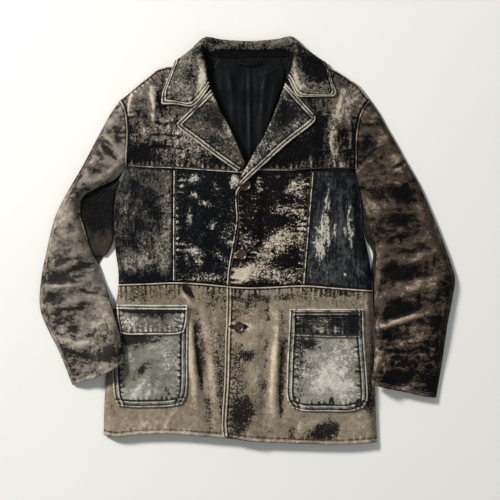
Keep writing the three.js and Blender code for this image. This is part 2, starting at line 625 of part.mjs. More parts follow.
// collar: stations along its seam, each from the seam over the fold to the edge of the fall
const collarStations = [
  [[-76, 303, 13], [-71, 304, 18], [-75, 305, 25], [-82, 294, 26], [-97, 275.4, 24],
    [-110, 266, 22.5], [-142, 270, 22], [-171, 270, 21]],
  [[-82, 322, 9.5], [-78.5, 323, 15], [-81, 326, 26], [-92, 323, 27], [-116, 315, 25],
    [-138, 305, 24], [-157, 296, 22.5], [-170, 289, 21.5]],
  [[-84, 341, 7.5], [-80, 341, 13], [-83.5, 342, 25], [-96, 342, 26], [-118, 336, 24],
    [-138, 326, 22], [-152, 319, 20], [-161, 313, 19]],
  [[-82, 354, 8.5], [-80.5, 357, 13], [-87, 361, 25], [-100, 362, 25], [-118, 356, 22],
    [-134, 350, 18.5], [-144, 346, 15.5], [-150, 341, 14]],
  [[-77, 364.5, 8], [-80, 370, 12], [-90, 376, 23], [-101, 376, 23], [-118, 371, 18],
    [-132, 365, 12], [-140, 361, 8], [-145, 358, 6]],
  [[-72, 365.5, 7], [-77, 372, 11], [-89, 382, 22], [-99, 384, 20], [-114, 379, 13], [-126, 371, 6],
    [-133, 363, 1.4], [-139, 356.5, 0.5]],
  [[-64, 365, 6], [-73, 373, 9], [-88, 388, 21], [-98, 390, 17], [-110, 384, 9], [-117, 375, 2.4],
    [-121, 362, 0], [-126, 344, 0]],
  [[-50, 364.5, 5], [-56, 375, 8], [-74, 398, 18], [-82, 405, 13], [-87, 404, 6], [-91, 395, 0.8],
    [-96, 365, 0], [-102, 328, 0]],
  [[-30, 364.3, 4.9], [-33, 376, 7.8], [-44, 391, 15], [-49, 399.5, 12], [-51, 401, 6],
    [-52, 394, 0.4], [-54, 360, 0], [-56, 318, 0]],
  [[4, 364.3, 4.9], [4, 376, 7.5], [4, 388, 14], [4, 396, 12], [4, 398, 6], [4, 391, 0.4],
    [4, 358, 0], [4, 316, 0]],
  [[38, 364.5, 4.9], [41, 377, 8], [52, 391, 15], [57, 400, 12], [60, 402, 6], [61, 394, 0.4],
    [62, 360, 0], [64, 318, 0]],
  [[60, 365.5, 5], [65, 376, 8], [78, 396, 18], [86, 405, 14], [92, 406, 6], [97, 396, 0.8],
    [102, 366, 0], [108, 328, 0]],
  [[73, 367.5, 6], [80, 375, 9.5], [93, 388, 21], [103, 391, 17], [116, 382, 9], [124, 373, 2.4],
    [128, 360, 0], [134, 342, 0]],
  [[80, 368, 6.8], [84.5, 374, 11], [95, 382, 22], [106, 384, 20], [122, 379, 13], [134, 370, 6],
    [142, 362, 1.4], [149, 354.5, 0.5]],
  [[85, 367, 8], [89, 371, 12], [97, 374, 24], [108, 374, 24], [126, 369, 18], [141, 364, 12],
    [150, 359, 8], [156, 356, 6]],
  [[88, 356, 8.5], [88.5, 358, 13], [94, 359, 25], [108, 359, 25.5], [128, 353, 22], [146, 347, 18],
    [157, 344, 15.5], [163, 339, 14]],
  [[89, 337, 8], [86, 337, 13], [90, 341, 25], [103, 341, 26], [126, 336, 24], [148, 327, 22],
    [162, 320, 20], [170, 313, 19]],
  [[84, 323, 10], [81, 325, 15], [84, 329, 26], [95, 326, 27], [120, 317, 25], [145, 305, 24],
    [165, 298, 22.5], [177, 293, 21.5]],
  [[80, 317, 13.5], [77, 318, 19], [81, 320, 25], [87, 309.5, 26.5], [100, 286.4, 24.5],
    [116, 285, 23.5], [145, 286, 22], [172, 286, 21]],
];
const collarGuides = collarStations[0].map((_, k) => new THREE.CatmullRomCurve3(
  collarStations.map((station) => new THREE.Vector3(...station[k])),
  false,
  'centripetal',
));
const shoulderY = (x) => {
  const edge = x < 0 ? rightShoulder : leftShoulder;
  return edge(where(edge, 'x', x)).y;
};
const collarSurface = (u, v) => {
  const knots = collarGuides.map((g) => g.getPoint(v));
  const p = new THREE.CatmullRomCurve3(knots, false, 'centripetal').getPoint(u);
  const onFront = ease(0.235, 0.2, Math.min(v, 1 - v)) * ease(0.3, 0.45, u);
  if (onFront > 0) {
    const inside = shoulderY(p.x) - p.y;
    const ground = inside > -1 ? yoke(p.x < 0 ? -1 : 1)(p.x, p.y) + stackGap + lapelWall + 1.2 : 0;
    p.z = lerp(p.z, Math.max(p.z, ground), onFront);
  }
  p.z = Math.max(p.z, 0);
  return p;
};
const collarAcross = [0, 0.07, 0.14, 0.21, 0.286, 0.36, 0.43, 0.5, 0.57, 0.66, 0.76, 0.88, 1];
addSheet('collar', collarSurface, collarAcross, steps(31), lapelWall, leatherLook(0x4c473d), 1);

// buttons with a rim and four holes
const buttonShape = (radius, holes) => {
  const shape = new THREE.Shape();
  shape.absarc(0, 0, radius, 0, Math.PI * 2);
  for (let i = 0; i < holes; i += 1) {
    const angle = Math.PI / 4 + (i * Math.PI) / 2;
    const hole = new THREE.Path();
    hole.absarc(2.6 * Math.cos(angle), 2.6 * Math.sin(angle), 1, 0, Math.PI * 2, true);
    shape.holes.push(hole);
  }
  return shape;
};
const addButton = (name, [x, y], lift) => {
  const geometry = new THREE.ExtrudeGeometry(buttonShape(buttonRadius - 0.8, 4), {
    depth: buttonHeight - 1.6,
    bevelEnabled: true,
    bevelThickness: 0.8,
    bevelSize: 0.8,
    bevelSegments: 1,
    curveSegments: 4,
  });
  let seat = -Infinity;
  for (let a = 0; a < 24; a += 1) {
    for (const r of [0.4, 0.8, 1]) {
      const angle = (a * Math.PI) / 12;
      const [dx, dy] = [r * buttonRadius * Math.cos(angle), r * buttonRadius * Math.sin(angle)];
      seat = Math.max(seat, front(1)(x + dx, y + dy));
    }
  }
  geometry.translate(x, y, seat + lift + 0.8);
  add(name, geometry, { color: 0x2b1512, roughness: 0.3, metalness: 0 });
};
addButton('button_top', topButton, 0.3);
addButton('button_middle', middleButton, 0.3);
addButton('button_lower', lowerButton, 0.3);

export default coat;
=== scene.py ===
import math

import bpy
import numpy as np
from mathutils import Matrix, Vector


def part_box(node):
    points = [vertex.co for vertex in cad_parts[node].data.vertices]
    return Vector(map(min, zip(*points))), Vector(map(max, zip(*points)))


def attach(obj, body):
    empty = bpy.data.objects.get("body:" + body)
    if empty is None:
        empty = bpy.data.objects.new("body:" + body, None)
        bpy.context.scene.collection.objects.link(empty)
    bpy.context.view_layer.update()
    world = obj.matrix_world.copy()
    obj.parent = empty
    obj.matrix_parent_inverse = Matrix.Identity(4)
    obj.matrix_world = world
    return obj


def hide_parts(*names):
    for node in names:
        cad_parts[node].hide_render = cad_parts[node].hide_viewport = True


# A worn leather coat laid flat on its back. Lengths are millimetres until a mesh is made.
# Sides are the wearer's, as in the CAD source: the wearer's right lies at -X.
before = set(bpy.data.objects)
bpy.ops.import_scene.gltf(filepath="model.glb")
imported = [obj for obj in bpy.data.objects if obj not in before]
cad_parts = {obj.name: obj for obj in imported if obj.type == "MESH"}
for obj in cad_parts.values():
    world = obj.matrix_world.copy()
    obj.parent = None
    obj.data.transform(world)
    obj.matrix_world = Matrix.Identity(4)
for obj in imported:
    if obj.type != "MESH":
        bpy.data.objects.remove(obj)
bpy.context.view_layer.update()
metre = 0.001

# wall thicknesses and heights, as in the CAD source
leather = 2.0
lapelWall = 2.4
liningWall = 1.2
stackGap = 0.35
edgeLift = 2.4
lapLift = 3.4
bodyRise = 10.0
bodyDome = 4.0
bodyRoll = 18.0
sleeveRise = 13.0
sleeveDome = 8.0
sleeveRoll = 20.0
rightOverBody = 23.5
leftOverBody = 17.0
cuffFlat = 9.0
domeReach = 60.0
foldFade = 30.0
litLift = 6.5
sleeveGap = 1.6
foldWall = 1.6
topButton = (-3, 109)
middleButton = (-11, -29)
lowerButton = (-17, -173)

# how finely the cloth is meshed, inside a panel and beside its edges
coarseStep = 2.9
fineStep = 1.15
fineBorder = 14.0
seamGap = 0.5


def ease(a, b, x):
    t = np.clip((np.asarray(x, float) - a) / (b - a), 0, 1)
    return t * t * (3 - 2 * t)


def lerp(a, b, t):
    return a + (b - a) * t


def bell(x, centre, width):
    return np.exp(-(((x - centre) / width) ** 2))


def catmull(points, t):
    # centripetal Catmull-Rom through points[..., n, k] at every t from 0 to 1
    count = points.shape[-2]
    place = np.clip(t, 0, 1) * (count - 1)
    i = np.minimum(place.astype(int), count - 2)
    w = (place - i)[:, None]
    first = 2 * points[..., :1, :] - points[..., 1:2, :]
    last = 2 * points[..., -1:, :] - points[..., -2:-1, :]
    padded = np.concatenate([first, points, last], axis=-2)
    a, b, c, d = (padded[..., i + k, :] for k in range(4))
    steps = [np.linalg.norm(q - p, axis=-1, keepdims=True) for p, q in ((a, b), (b, c), (c, d))]
    before, here, after = (np.maximum(np.sqrt(step), 1e-4) for step in steps)
    start = ((b - a) / before - (c - a) / (before + here) + (c - b) / here) * here
    end = ((c - b) / here - (d - b) / (here + after) + (d - c) / after) * here
    return b + start * w + (3 * (c - b) - 2 * start - end) * w**2 + (2 * (b - c) + start + end) * w**3


def line(points):
    # a smooth line through given points, by arc length
    knots = np.array(points, float)
    raw = np.linspace(0, 1, 301)
    spots = catmull(knots, raw)
    along = np.cumsum(np.linalg.norm(np.diff(spots, axis=0, prepend=spots[:1]), axis=1))
    return lambda t: catmull(knots, np.interp(np.clip(t, 0, 1) * along[-1], along, raw))


def part(curve, start, end):
    return lambda t: curve(lerp(start, end, np.asarray(t, float)))


def where(curve, axis, value):
    t = np.linspace(0, 1, 1201)
    values = curve(t)[:, axis]
    if values[-1] < values[0]:
        return float(np.interp(value, values[::-1], t[::-1]))
    return float(np.interp(value, values, t))


def near(curve, x, y, count=60):
    # distance to a line, and how far along it the nearest point is, from 0 to 1
    points = curve(np.linspace(0, 1, count + 1))
    best = np.full(x.shape, np.inf)
    along = np.zeros(x.shape)
    for i in range(count):
        (ax, ay), (dx, dy) = points[i][:2], (points[i + 1] - points[i])[:2]
        t = np.clip(((x - ax) * dx + (y - ay) * dy) / (dx * dx + dy * dy), 0, 1)
        d = np.hypot(x - ax - t * dx, y - ay - t * dy)
        hit = d < best
        best = np.where(hit, d, best)
        along = np.where(hit, (i + t) / count, along)
    return best, along


def distance(curves, x, y):
    return np.min([near(curve, x, y)[0] for curve in curves], axis=0)


# outlines
rightArmhole = line([[-254, 281], [-246, 268], [-241, 252], [-238, 224], [-238, 198], [-240, 170],
                     [-241, 149]])
leftArmhole = line([[245, 281], [233, 267], [226, 253], [220, 232], [216, 198], [216, 170], [216, 144]])
rightShoulder = line([[-254, 281], [-232, 300], [-194, 331], [-179, 342], [-142, 350], [-114, 358],
                      [-92, 362]])
leftShoulder = line([[245, 281], [220, 312], [206, 321], [176, 340], [142, 352], [118, 361], [96, 367]])
rightSide = line([[-241, 149], [-245, 134], [-258, 104], [-265, 62], [-266, 31], [-264, -21], [-259, -56],
                  [-258, -88], [-263, -129], [-274, -210], [-282, -266], [-286, -320], [-288, -390]])
leftSide = line([[216, 144], [219, 118], [226, 85], [231, 27], [245, -40], [250, -88], [252, -198],
                 [256, -289], [260, -404]])
rightHem = line([[-288, -390], [-257, -393], [-223, -389], [-154, -387], [-74, -393], [-34, -396], [6, -399]])
leftHem = line([[-49, -390], [-4, -400], [46, -404], [77, -405], [190, -408], [260, -404]])
rightYokeSeam = line([[-241, 147], [-201, 144], [-145, 142], [-84, 138], [-17, 134], [6, 133]])
leftYokeSeam = line([[0, 137], [40, 138], [101, 137], [158, 139], [216, 139]])
rightChestSeam = line([[-147, 142], [-148, 27], [-148, -84]])
leftChestSeam = line([[133, 138], [124, 27], [114, -90]])
rightWaist = line([[-258, -88], [-199, -86], [-148, -84], [-94, -86], [-42, -91], [6, -94]])
leftWaist = line([[-41, -92], [6, -94], [44, -93], [113, -90], [180, -95], [250, -100]])
frontEdgeLow = line([[-41, -92], [-42, -150], [-44, -200], [-46, -280], [-51, -370], [-49, -390]])
rightRoll = line([[-72, 299], [-52, 257], [-31, 216], [-16, 182], [-3, 153]])
leftRoll = line([[76, 312], [63, 277], [40, 221], [7, 162], [-6, 139], [-14, 125], [-19, 110]])
rightLapelEdge = line([[-141, 232], [-136, 223], [-102, 197], [-67, 170], [-38, 149], [-20, 137]])
leftLapelEdge = line([[137, 245], [134, 236], [81, 193], [25, 142], [-9, 111]])
rightSleeveOuter = line([[-254, 281], [-276, 249], [-300, 205], [-330, 148], [-358, 100], [-381, 56],
                         [-392, 22], [-402, -23], [-411, -67], [-416, -119], [-413, -144], [-398, -181],
                         [-378, -220], [-350, -290]])
rightSleeveInner = line([[-241, 149], [-249, 137], [-268, 119], [-300, 104], [-327, 87], [-336, 70],
                         [-335, 52], [-330, 33], [-313, -17], [-297, -50], [-283, -93], [-263, -153],
                         [-246, -216], [-245, -241]])
rightSleeveUnder = line([[-241, 149], [-247, 137], [-254.5, 118], [-261.5, 98], [-265.6, 70], [-266.6, 45],
                         [-266.6, 22], [-267, 2], [-274, -18], [-294, -50], [-283, -93], [-263, -153],
                         [-246, -216], [-245, -241]])
rightSleeveFloor = line([[-241, 149], [-250, 134], [-259, 116], [-266.6, 96], [-270.6, 70], [-271.6, 45],
                         [-271.6, 22], [-272, 2], [-279, -20], [-297, -50], [-283, -93], [-263, -153],
                         [-246, -216], [-245, -241]])
rightCuff = line([[-350, -290], [-313, -277], [-280, -264], [-261, -254], [-245, -241]])
leftSleeveOuter = line([[245, 281], [262, 257], [278, 228], [300, 190], [318, 157], [345, 110], [369, 55],
                        [391, 0], [408, -47], [416, -76], [410, -122], [402, -163], [390, -245], [378, -316]])
leftSleeveInner = line([[216, 144], [221, 118], [231, 78], [242, 38], [252, 0], [258, -30], [256, -59],
                        [254, -90], [253.5, -122], [254, -163], [254.5, -194], [252, -245], [246, -287]])
# the left under sleeve's inner edge reaches the body's side under the armpit; lower down, from about y = 20,
# it is drawn out into the gap beside the body, a dark sheet standing in for the shaded floor there
leftUnderWithGapShade = line([[216, 144], [219.2, 118], [226.4, 85], [231.4, 27], [237.2, 2], [251, -26],
                        [250.5, -44], [248.2, -60], [250.4, -88], [251.6, -122], [253, -163],
                        [254.5, -194], [252, -245], [246, -287]])
leftCuff = line([[378, -316], [346, -311], [316, -304], [282, -297], [246, -287]])
rightYokeInner = line([[-92, 362], [-88, 352], [-88, 340], [-86, 322], [-79.5, 300], [-59, 257], [-38, 216],
                       [-23, 182], [-10, 153], [-2, 138], [6, 133]])
leftYokeInner = line([[96, 367], [94.5, 352], [92.5, 336], [87.5, 320], [82, 306], [70.5, 277], [47, 221],
                      [14, 162], [2, 142], [0, 137]])
leftCentreInner = line([[0, 137], [-7, 124], [-13, 110], [-22, 98], [-24, 80], [-22, 42], [-25, 18],
                        [-30, -11], [-38, -56], [-41, -92]])
rightCentreInner = line([[6, 133], [6, 20], [6, -94]])
rightSkirtInner = line([[6, -94], [6, -250], [6, -399]])

# the largest folds, as in the CAD source: x1, y1, x2, y2, height, width
bodyFolds = [
    [-138, -84, -112, -132, 3.5, 8], [-106, -130, -72, -388, -4, 9], [-117, -110, -98, -388, 4, 8],
    [-88, -112, -56, -388, 4.5, 10], [-140, -335, -160, -385, 2.5, 7], [64, -130, 46, -360, 4.5, 10],
    [74, -190, 66, -385, -3, 8], [40, -100, 34, -170, -2.5, 10], [-60, -130, -62, -300, 2, 14],
    [-194, 318, -186, 225, 3.5, 11], [-231, 299, -239, 240, 2, 6], [196, 300, 176, 190, 3.5, 12],
    [-200, 120, -206, -60, 2.5, 14], [-100, 120, -80, -70, 2, 18], [60, 110, 70, -80, 2.5, 16],
    [176, 110, 200, -70, 3, 14], [-225, 215, -150, 200, 2.5, 10], [110, -112, 240, -122, 2, 8],
    [-120, 240, -150, 170, 2.5, 10], [120, 225, 150, 160, 2.5, 12], [36, -180, 30, -380, -2.5, 12],
]
rightSleeveFolds = [
    [-414, -58, -302, -42, 5, 10], [-418, -105, -290, -66, 4.5, 10], [-398, 12, -318, 2, 3.5, 10],
    [-246, 162, -292, 228, 4, 9], [-252, 146, -322, 158, 3, 9], [-300, 190, -330, 92, 3, 10],
    [-414, -140, -276, -112, 3.5, 10], [-372, -225, -256, -178, 3, 10], [-402, -180, -330, -150, -3, 9],
]
leftSleeveFolds = [
    [262, -175, 382, -130, 5, 8], [256, -58, 400, -14, 4.5, 11], [258, -112, 404, -78, 4, 10],
    [222, 146, 280, 200, 4, 9], [224, 112, 335, 118, 3.5, 10], [236, 70, 360, 64, 3.5, 11],
    [262, -218, 392, -186, 3.5, 10], [252, 10, 380, 22, 3, 9], [264, -262, 372, -250, 2.5, 10],
]


def foldHeight(folds, x, y):
    total = np.zeros(np.shape(x))
    for x1, y1, x2, y2, height, width in folds:
        dx, dy = x2 - x1, y2 - y1
        t = ((x - x1) * dx + (y - y1) * dy) / (dx * dx + dy * dy)
        off = ((x - x1) * dy - (y - y1) * dx) / math.hypot(dx, dy)
        inside = (t > 0) & (t < 1)
        total += inside * height * np.minimum(1, 4 * t * (1 - t)) * np.exp(-((off / width) ** 2))
    return total


bodyEdges = [rightShoulder, leftShoulder, rightSide, leftSide, part(rightSleeveOuter, 0, 0.1),
             part(leftSleeveOuter, 0, 0.1)]
rightSleeveEdges = [rightSleeveOuter, rightSleeveInner, rightShoulder]
leftSleeveEdges = [leftSleeveOuter, leftSleeveInner, leftShoulder]
rightLitEdge = part(rightSleeveInner, 0, 0.62)
neckEdges = [line([[-92, 362], [-85, 355], [-86, 340], [-84, 322], [-77, 300]]),
             line([[96, 367], [93, 352], [91, 336], [86, 320], [80, 306]])]
collarMiddle = 4
collarHalf = 146
collarUnder = 3


def roll(d, width):
    return np.sin((math.pi / 2) * np.minimum(1, d / width))


def dome(d):
    return 1 - np.exp(-d / domeReach)


def backTop(x, y):
    aside = ease(collarHalf + 40, collarHalf, np.abs(x - collarMiddle))
    return leather + collarUnder * aside * ease(268, 304, y)


def front(side):
    def height(x, y):
        d = distance(bodyEdges, x, y)
        folds = foldHeight(bodyFolds, x, y) * roll(d, foldFade)
        puff = bodyRise * roll(d, bodyRoll) + bodyDome * dome(d) + folds
        lap = lapLift * ease(34, 10, x) if side > 0 else 0
        return backTop(x, y) + edgeLift + puff + lap
    return height


def yoke(side):
    # beside the neck the front sinks to the seam of the collar
    def height(x, y):
        full = front(side)(x, y)
        low = np.minimum(backTop(x, y) + 3.5 + 6 * ease(345, 300, y), full)
        beside = ease(26, 0, distance(neckEdges, x, y)) * ease(292, 312, y)
        return np.minimum(full, lerp(full, low, beside))
    return height


def sideX(curve):
    points = curve(np.linspace(0, 1, 61))[::-1]
    return lambda y: np.interp(y, points[:, 1], points[:, 0])


def overSide(x, y):
    # a sleeve climbs onto the body's side where it lies over it
    right = x < 0
    inside = np.where(right, x > sideX(rightSide)(y), x < sideX(leftSide)(y))
    d = distance([rightSide, leftSide], x, y) * np.where(inside, 1, -1)
    onRight = rightOverBody * ease(-42, 12, d) * ease(-58, -136, y)
    onLeft = leftOverBody * ease(-42, 8, d) * ease(-150, -215, y)
    return np.where(right, onRight, onLeft)


def sleeve(edges, folds, armhole, side):
    def height(x, y):
        d = distance(edges, x, y)
        away = ease(0, 90, near(armhole, x, y)[0])
        full = lerp(sleeveRise, cuffFlat, ease(-150, -280, y))
        rise = lerp(bodyRise, full, away) * roll(d, lerp(bodyRoll, sleeveRoll, away))
        ridges = foldHeight(folds, x, y) * roll(d, foldFade)
        puff = rise + lerp(bodyDome, sleeveDome, away) * dome(d) + ridges
        droop = ease(140, 112, y) * ease(-46, -12, y)
        lit = litLift * droop * ease(34, 4, near(rightLitEdge, x, y)[0]) if side < 0 else 0
        lift = overSide(x, y)
        return leather + edgeLift + puff + lit + lift + sleeveGap * ease(0, 2.5, lift)
    return height


def spacing(length):
    # steps from 0 to 1, finer beside both ends
    edge = np.arange(0, fineBorder, fineStep)
    count = max(2, round((length - 2 * fineBorder) / coarseStep))
    middle = np.linspace(fineBorder, length - fineBorder, count + 1)
    return np.concatenate([edge, middle, (length - edge)[::-1]]) / length


def lengthOf(curve):
    return np.linalg.norm(np.diff(curve(np.linspace(0, 1, 121)), axis=0), axis=1).sum()


def plan(top, bottom, left, right, us=None, vs=None):
    # a grid in plan between four lines
    us = spacing(max(lengthOf(top), lengthOf(bottom))) if us is None else us
    vs = spacing(max(lengthOf(left), lengthOf(right))) if vs is None else vs
    upper, lower, west, east = top(us)[None], bottom(us)[None], left(vs)[:, None], right(vs)[:, None]
    u, v = us[None, :, None], vs[:, None, None]
    corners = lerp(lerp(upper[:, :1], upper[:, -1:], u), lerp(lower[:, :1], lower[:, -1:], u), v)
    return lerp(upper, lower, v) + lerp(west, east, u) - corners


def pull(grid):
    # a panel's edges drawn in, to leave the seam's gap
    def towards(p, q):
        step = q - p
        return p + step * seamGap / np.linalg.norm(step, axis=-1, keepdims=True)
    grid[:, 0] = towards(grid[:, 0], grid[:, 1])
    grid[:, -1] = towards(grid[:, -1], grid[:, -2])
    grid[0] = towards(grid[0], grid[1])
    grid[-1] = towards(grid[-1], grid[-2])
    return grid


def normals(grid):
    across = np.gradient(grid, axis=1)
    down = np.gradient(grid, axis=0)
    n = np.cross(across, down)
    return n / np.maximum(np.linalg.norm(n, axis=-1, keepdims=True), 1e-9)


def addObject(name, data):
    made = bpy.data.objects.new(name, data)
    bpy.context.collection.objects.link(made)
    return made


def makePiece(name, points, faces, material):
    # points are in millimetres
    mesh = bpy.data.meshes.new(name)
    mesh.from_pydata((np.asarray(points) * metre).tolist(), [], faces)
    mesh.shade_smooth()
    mesh.materials.append(material)
    return addObject(name, mesh)


def makeShell(name, outer, wall, side, values, material):
    # a closed shell with a rounded rim; values are point attributes, alike on both of its faces
    rows, columns = outer.shape[:2]
    inner = outer + normals(outer) * wall * side
    ring = [(0, j) for j in range(columns)] + [(i, columns - 1) for i in range(1, rows)]
    ring += [(rows - 1, j) for j in range(columns - 2, -1, -1)] + [(i, 0) for i in range(rows - 2, 0, -1)]
    ring = np.array(ring)
    inward = np.clip(ring, [1, 1], [rows - 2, columns - 2])
    edge = outer[ring[:, 0], ring[:, 1]]
    out = edge - outer[inward[:, 0], inward[:, 1]]
    out /= np.maximum(np.linalg.norm(out, axis=1, keepdims=True), 1e-9)
    rim = (edge + inner[ring[:, 0], ring[:, 1]]) / 2 + out * wall * 0.16
    points = np.concatenate([outer.reshape(-1, 3), inner.reshape(-1, 3), rim])
    count = rows * columns
    index = np.arange(count).reshape(rows, columns)
    quads = np.stack([index[:-1, :-1], index[1:, :-1], index[1:, 1:], index[:-1, 1:]], -1).reshape(-1, 4)
    onRing = ring[:, 0] * columns + ring[:, 1]
    rimIndex = 2 * count + np.arange(len(ring))
    after = np.roll(np.arange(len(ring)), -1)
    upper = np.stack([onRing, onRing[after], rimIndex[after], rimIndex], -1)
    lower = np.stack([rimIndex, rimIndex[after], onRing[after] + count, onRing + count], -1)
    faces = np.concatenate([quads, quads[:, ::-1] + count, upper, lower])
    if side < 0:
        faces = faces[:, ::-1]
    piece = makePiece(name, points, faces.tolist(), material)
    for key, value in values.items():
        flat = value.reshape(count, -1)
        flat = np.concatenate([flat, flat, flat[onRing]])
        kind = "FLOAT_VECTOR" if flat.shape[1] == 3 else "FLOAT"
        attribute = piece.data.attributes.new(key, kind, "POINT")
        attribute.data.foreach_set("vector" if kind == "FLOAT_VECTOR" else "value", flat.ravel())
    return piece


# shader arithmetic: a socket that can be added, multiplied and so on
class Value:
    def __init__(self, tree, socket):
        self.tree = tree
        self.socket = socket

    def plug(self, target, value):
        if isinstance(value, Value):
            self.tree.links.new(value.socket, target)
        else:
            target.default_value = value

    def node(self, kind, settings, inputs, output=0):
        made = self.tree.nodes.new(kind)
        for key, value in settings.items():
            setattr(made, key, value)
        for key, value in inputs.items():
            self.plug(made.inputs[key], value)
        return Value(self.tree, made.outputs[output] if made.outputs else None)

    def maths(self, operation, *values):
        return self.node("ShaderNodeMath", {"operation": operation}, dict(enumerate(values)))

    def __add__(self, other):
        return self.maths("ADD", self, other)

    def __sub__(self, other):
        return self.maths("SUBTRACT", self, other)

    def __mul__(self, other):
        return self.maths("MULTIPLY", self, other)

    def __rsub__(self, other):
        return self.maths("SUBTRACT", other, self)

    def smooth(self, low, high):
        settings = {"interpolation_type": "SMOOTHSTEP", "clamp": True}
        return self.node("ShaderNodeMapRange", settings, {"Value": self, "From Min": low, "From Max": high})

    def mix(self, a, b):
        # colours a to b, this value being the share of b
        a, b = (c if isinstance(c, Value) else (*c, 1) for c in (a, b))
        return self.node("ShaderNodeMix", {"data_type": "RGBA"}, {0: self, 6: a, 7: b}, 2)

    def vector(self, operation, other):
        return self.node("ShaderNodeVectorMath", {"operation": operation}, {0: self, 1: other})

    def noise(self, size, detail=3.0, roughness=0.55, output=0):
        # lumps about size across; size is one number or one for each axis
        sizes = size if hasattr(size, "__len__") else (size,) * 3
        place = self.vector("MULTIPLY", tuple(1 / s for s in sizes))
        inputs = {"Vector": place, "Scale": 1.0, "Detail": detail, "Roughness": roughness}
        return self.node("ShaderNodeTexNoise", {}, inputs, output)

    def cells(self, size, feature="F1"):
        place = self.vector("MULTIPLY", (1 / size,) * 3)
        inputs = {"Vector": place, "Scale": 1.0}
        return self.node("ShaderNodeTexVoronoi", {"feature": feature}, inputs, "Distance")


def newShader(name):
    material = bpy.data.materials.new(name)
    material.use_nodes = True
    material.node_tree.nodes.clear()
    return material, Value(material.node_tree, None)


def attributeOf(start, name, output="Fac"):
    return start.node("ShaderNodeAttribute", {"attribute_name": name}, {}, output)


def finishShader(start, material, height=None, distanceMm=0.4, strength=1.0, **inputs):
    # the principled shader and the output; inputs are its sockets, with _ for a space
    values = {key.replace("_", " "): value for key, value in inputs.items()}
    if height is not None:
        bump = {"Height": height, "Distance": distanceMm * metre, "Strength": strength}
        values["Normal"] = start.node("ShaderNodeBump", {}, bump)
    surface = start.node("ShaderNodeBsdfPrincipled", {}, values)
    start.node("ShaderNodeOutputMaterial", {}, {"Surface": surface})
    return material


# roughness where the dark layer shows and where it doesn't, and the grain's bump in mm
slick = 0.46
dry = 0.7
grainDepth = 0.55
grainStrength = 0.8
leatherShine = 0.07


def leatherMaterial(look):
    # tone decides what shows: the dark layer below, the ground colour above it, and pale where it is rubbed;
    # besides wear, tone carries painted highlights on folds, creases and seam ridges, and painted shade
    # beside them and in grooves
    material, start = newShader(f"{look['name']}_leather")
    cloth = attributeOf(start, "cloth", "Vector")
    tone = attributeOf(start, "tone")
    flake = attributeOf(start, "flake")
    drift = cloth.noise(24, 2, output="Color").vector("SUBTRACT", (0.5,) * 3).vector("MULTIPLY", (14,) * 3)
    place = cloth.vector("ADD", drift)
    cloud = place.noise(look.get("cloudSize", 46), 3)
    blotch = place.noise(look.get("blotchSize", 15), 5, 0.62)
    fleck = place.noise(look.get("fleckSize", 3.6), 5, 0.74)
    stroke = place.noise(look.get("strokeSize", (4, 30, 4)), 4, 0.6)
    crack = 1 - place.cells(look.get("crackSize", 9), "DISTANCE_TO_EDGE").smooth(0.0, 0.07)
    broken = (fleck - 0.5) * look.get("fleck", 2.4) + (stroke - 0.5) * look.get("stroke", 0.8)
    shown = tone + (cloud - 0.5) * look["cloud"] + (blotch - 0.5) * look["blotch"]
    shown = shown + broken * flake - crack * flake * look.get("crack", 0.25)
    bare = shown.smooth(*look.get("bareRange", (-0.34, -0.08)))
    paleWearAndHighlight = shown.smooth(*look.get("paleRange", (0.16, 0.60)))
    second = look.get("ground2", look["ground"])
    ground = place.noise(60, 2).smooth(0.35, 0.65).mix(look["ground"], second)
    colour = paleWearAndHighlight.mix(bare.mix(look["dark"], ground), look["pale"])
    shade = place.noise(9, 4).smooth(0.2, 0.8) * 0.5 + 0.75
    shaded = {"data_type": "RGBA", "blend_type": "MULTIPLY"}
    colour = start.node("ShaderNodeMix", shaded, {0: 1.0, 6: colour, 7: shade}, 2)
    grain = place.cells(1.7) * 0.35 + fleck * 0.6 - crack * 0.5 + bare * 0.25
    return finishShader(start, material, grain, grainDepth, grainStrength, Base_Color=colour,
                        Roughness=bare * (dry - slick) + slick, Specular_IOR_Level=leatherShine)


def paint(look, x, y):
    # tone and flaking of each point; zones: centre, radii, turn in degrees, added tone, added flaking
    tone = np.full(x.shape, float(look["tone"]))
    flake = np.full(x.shape, float(look["flake"]))
    grow, power = look.get("grow", 1), look.get("power", 1.3)
    for cx, cy, rx, ry, turn, addTone, addFlake in look.get("zones", []):
        c, s = math.cos(math.radians(turn)), math.sin(math.radians(turn))
        p, q = (x - cx) * c + (y - cy) * s, (y - cy) * c - (x - cx) * s
        share = np.exp(-(((p / rx) ** 2 + (q / ry) ** 2) / grow**2) ** power)
        tone = tone + addTone * share
        flake = flake + addFlake * share
    return tone, np.clip(flake, 0, 1.6)


def puckers(along, seed, pitch=8.0):
    # uneven small waves along a seam
    random = np.random.default_rng(seed)
    wave = np.zeros(np.shape(along))
    for _ in range(5):
        length = pitch * random.uniform(0.7, 1.8)
        wave += random.uniform(0.4, 1) * np.sin(2 * math.pi * along / length + random.uniform(0, 6))
    return wave / 2


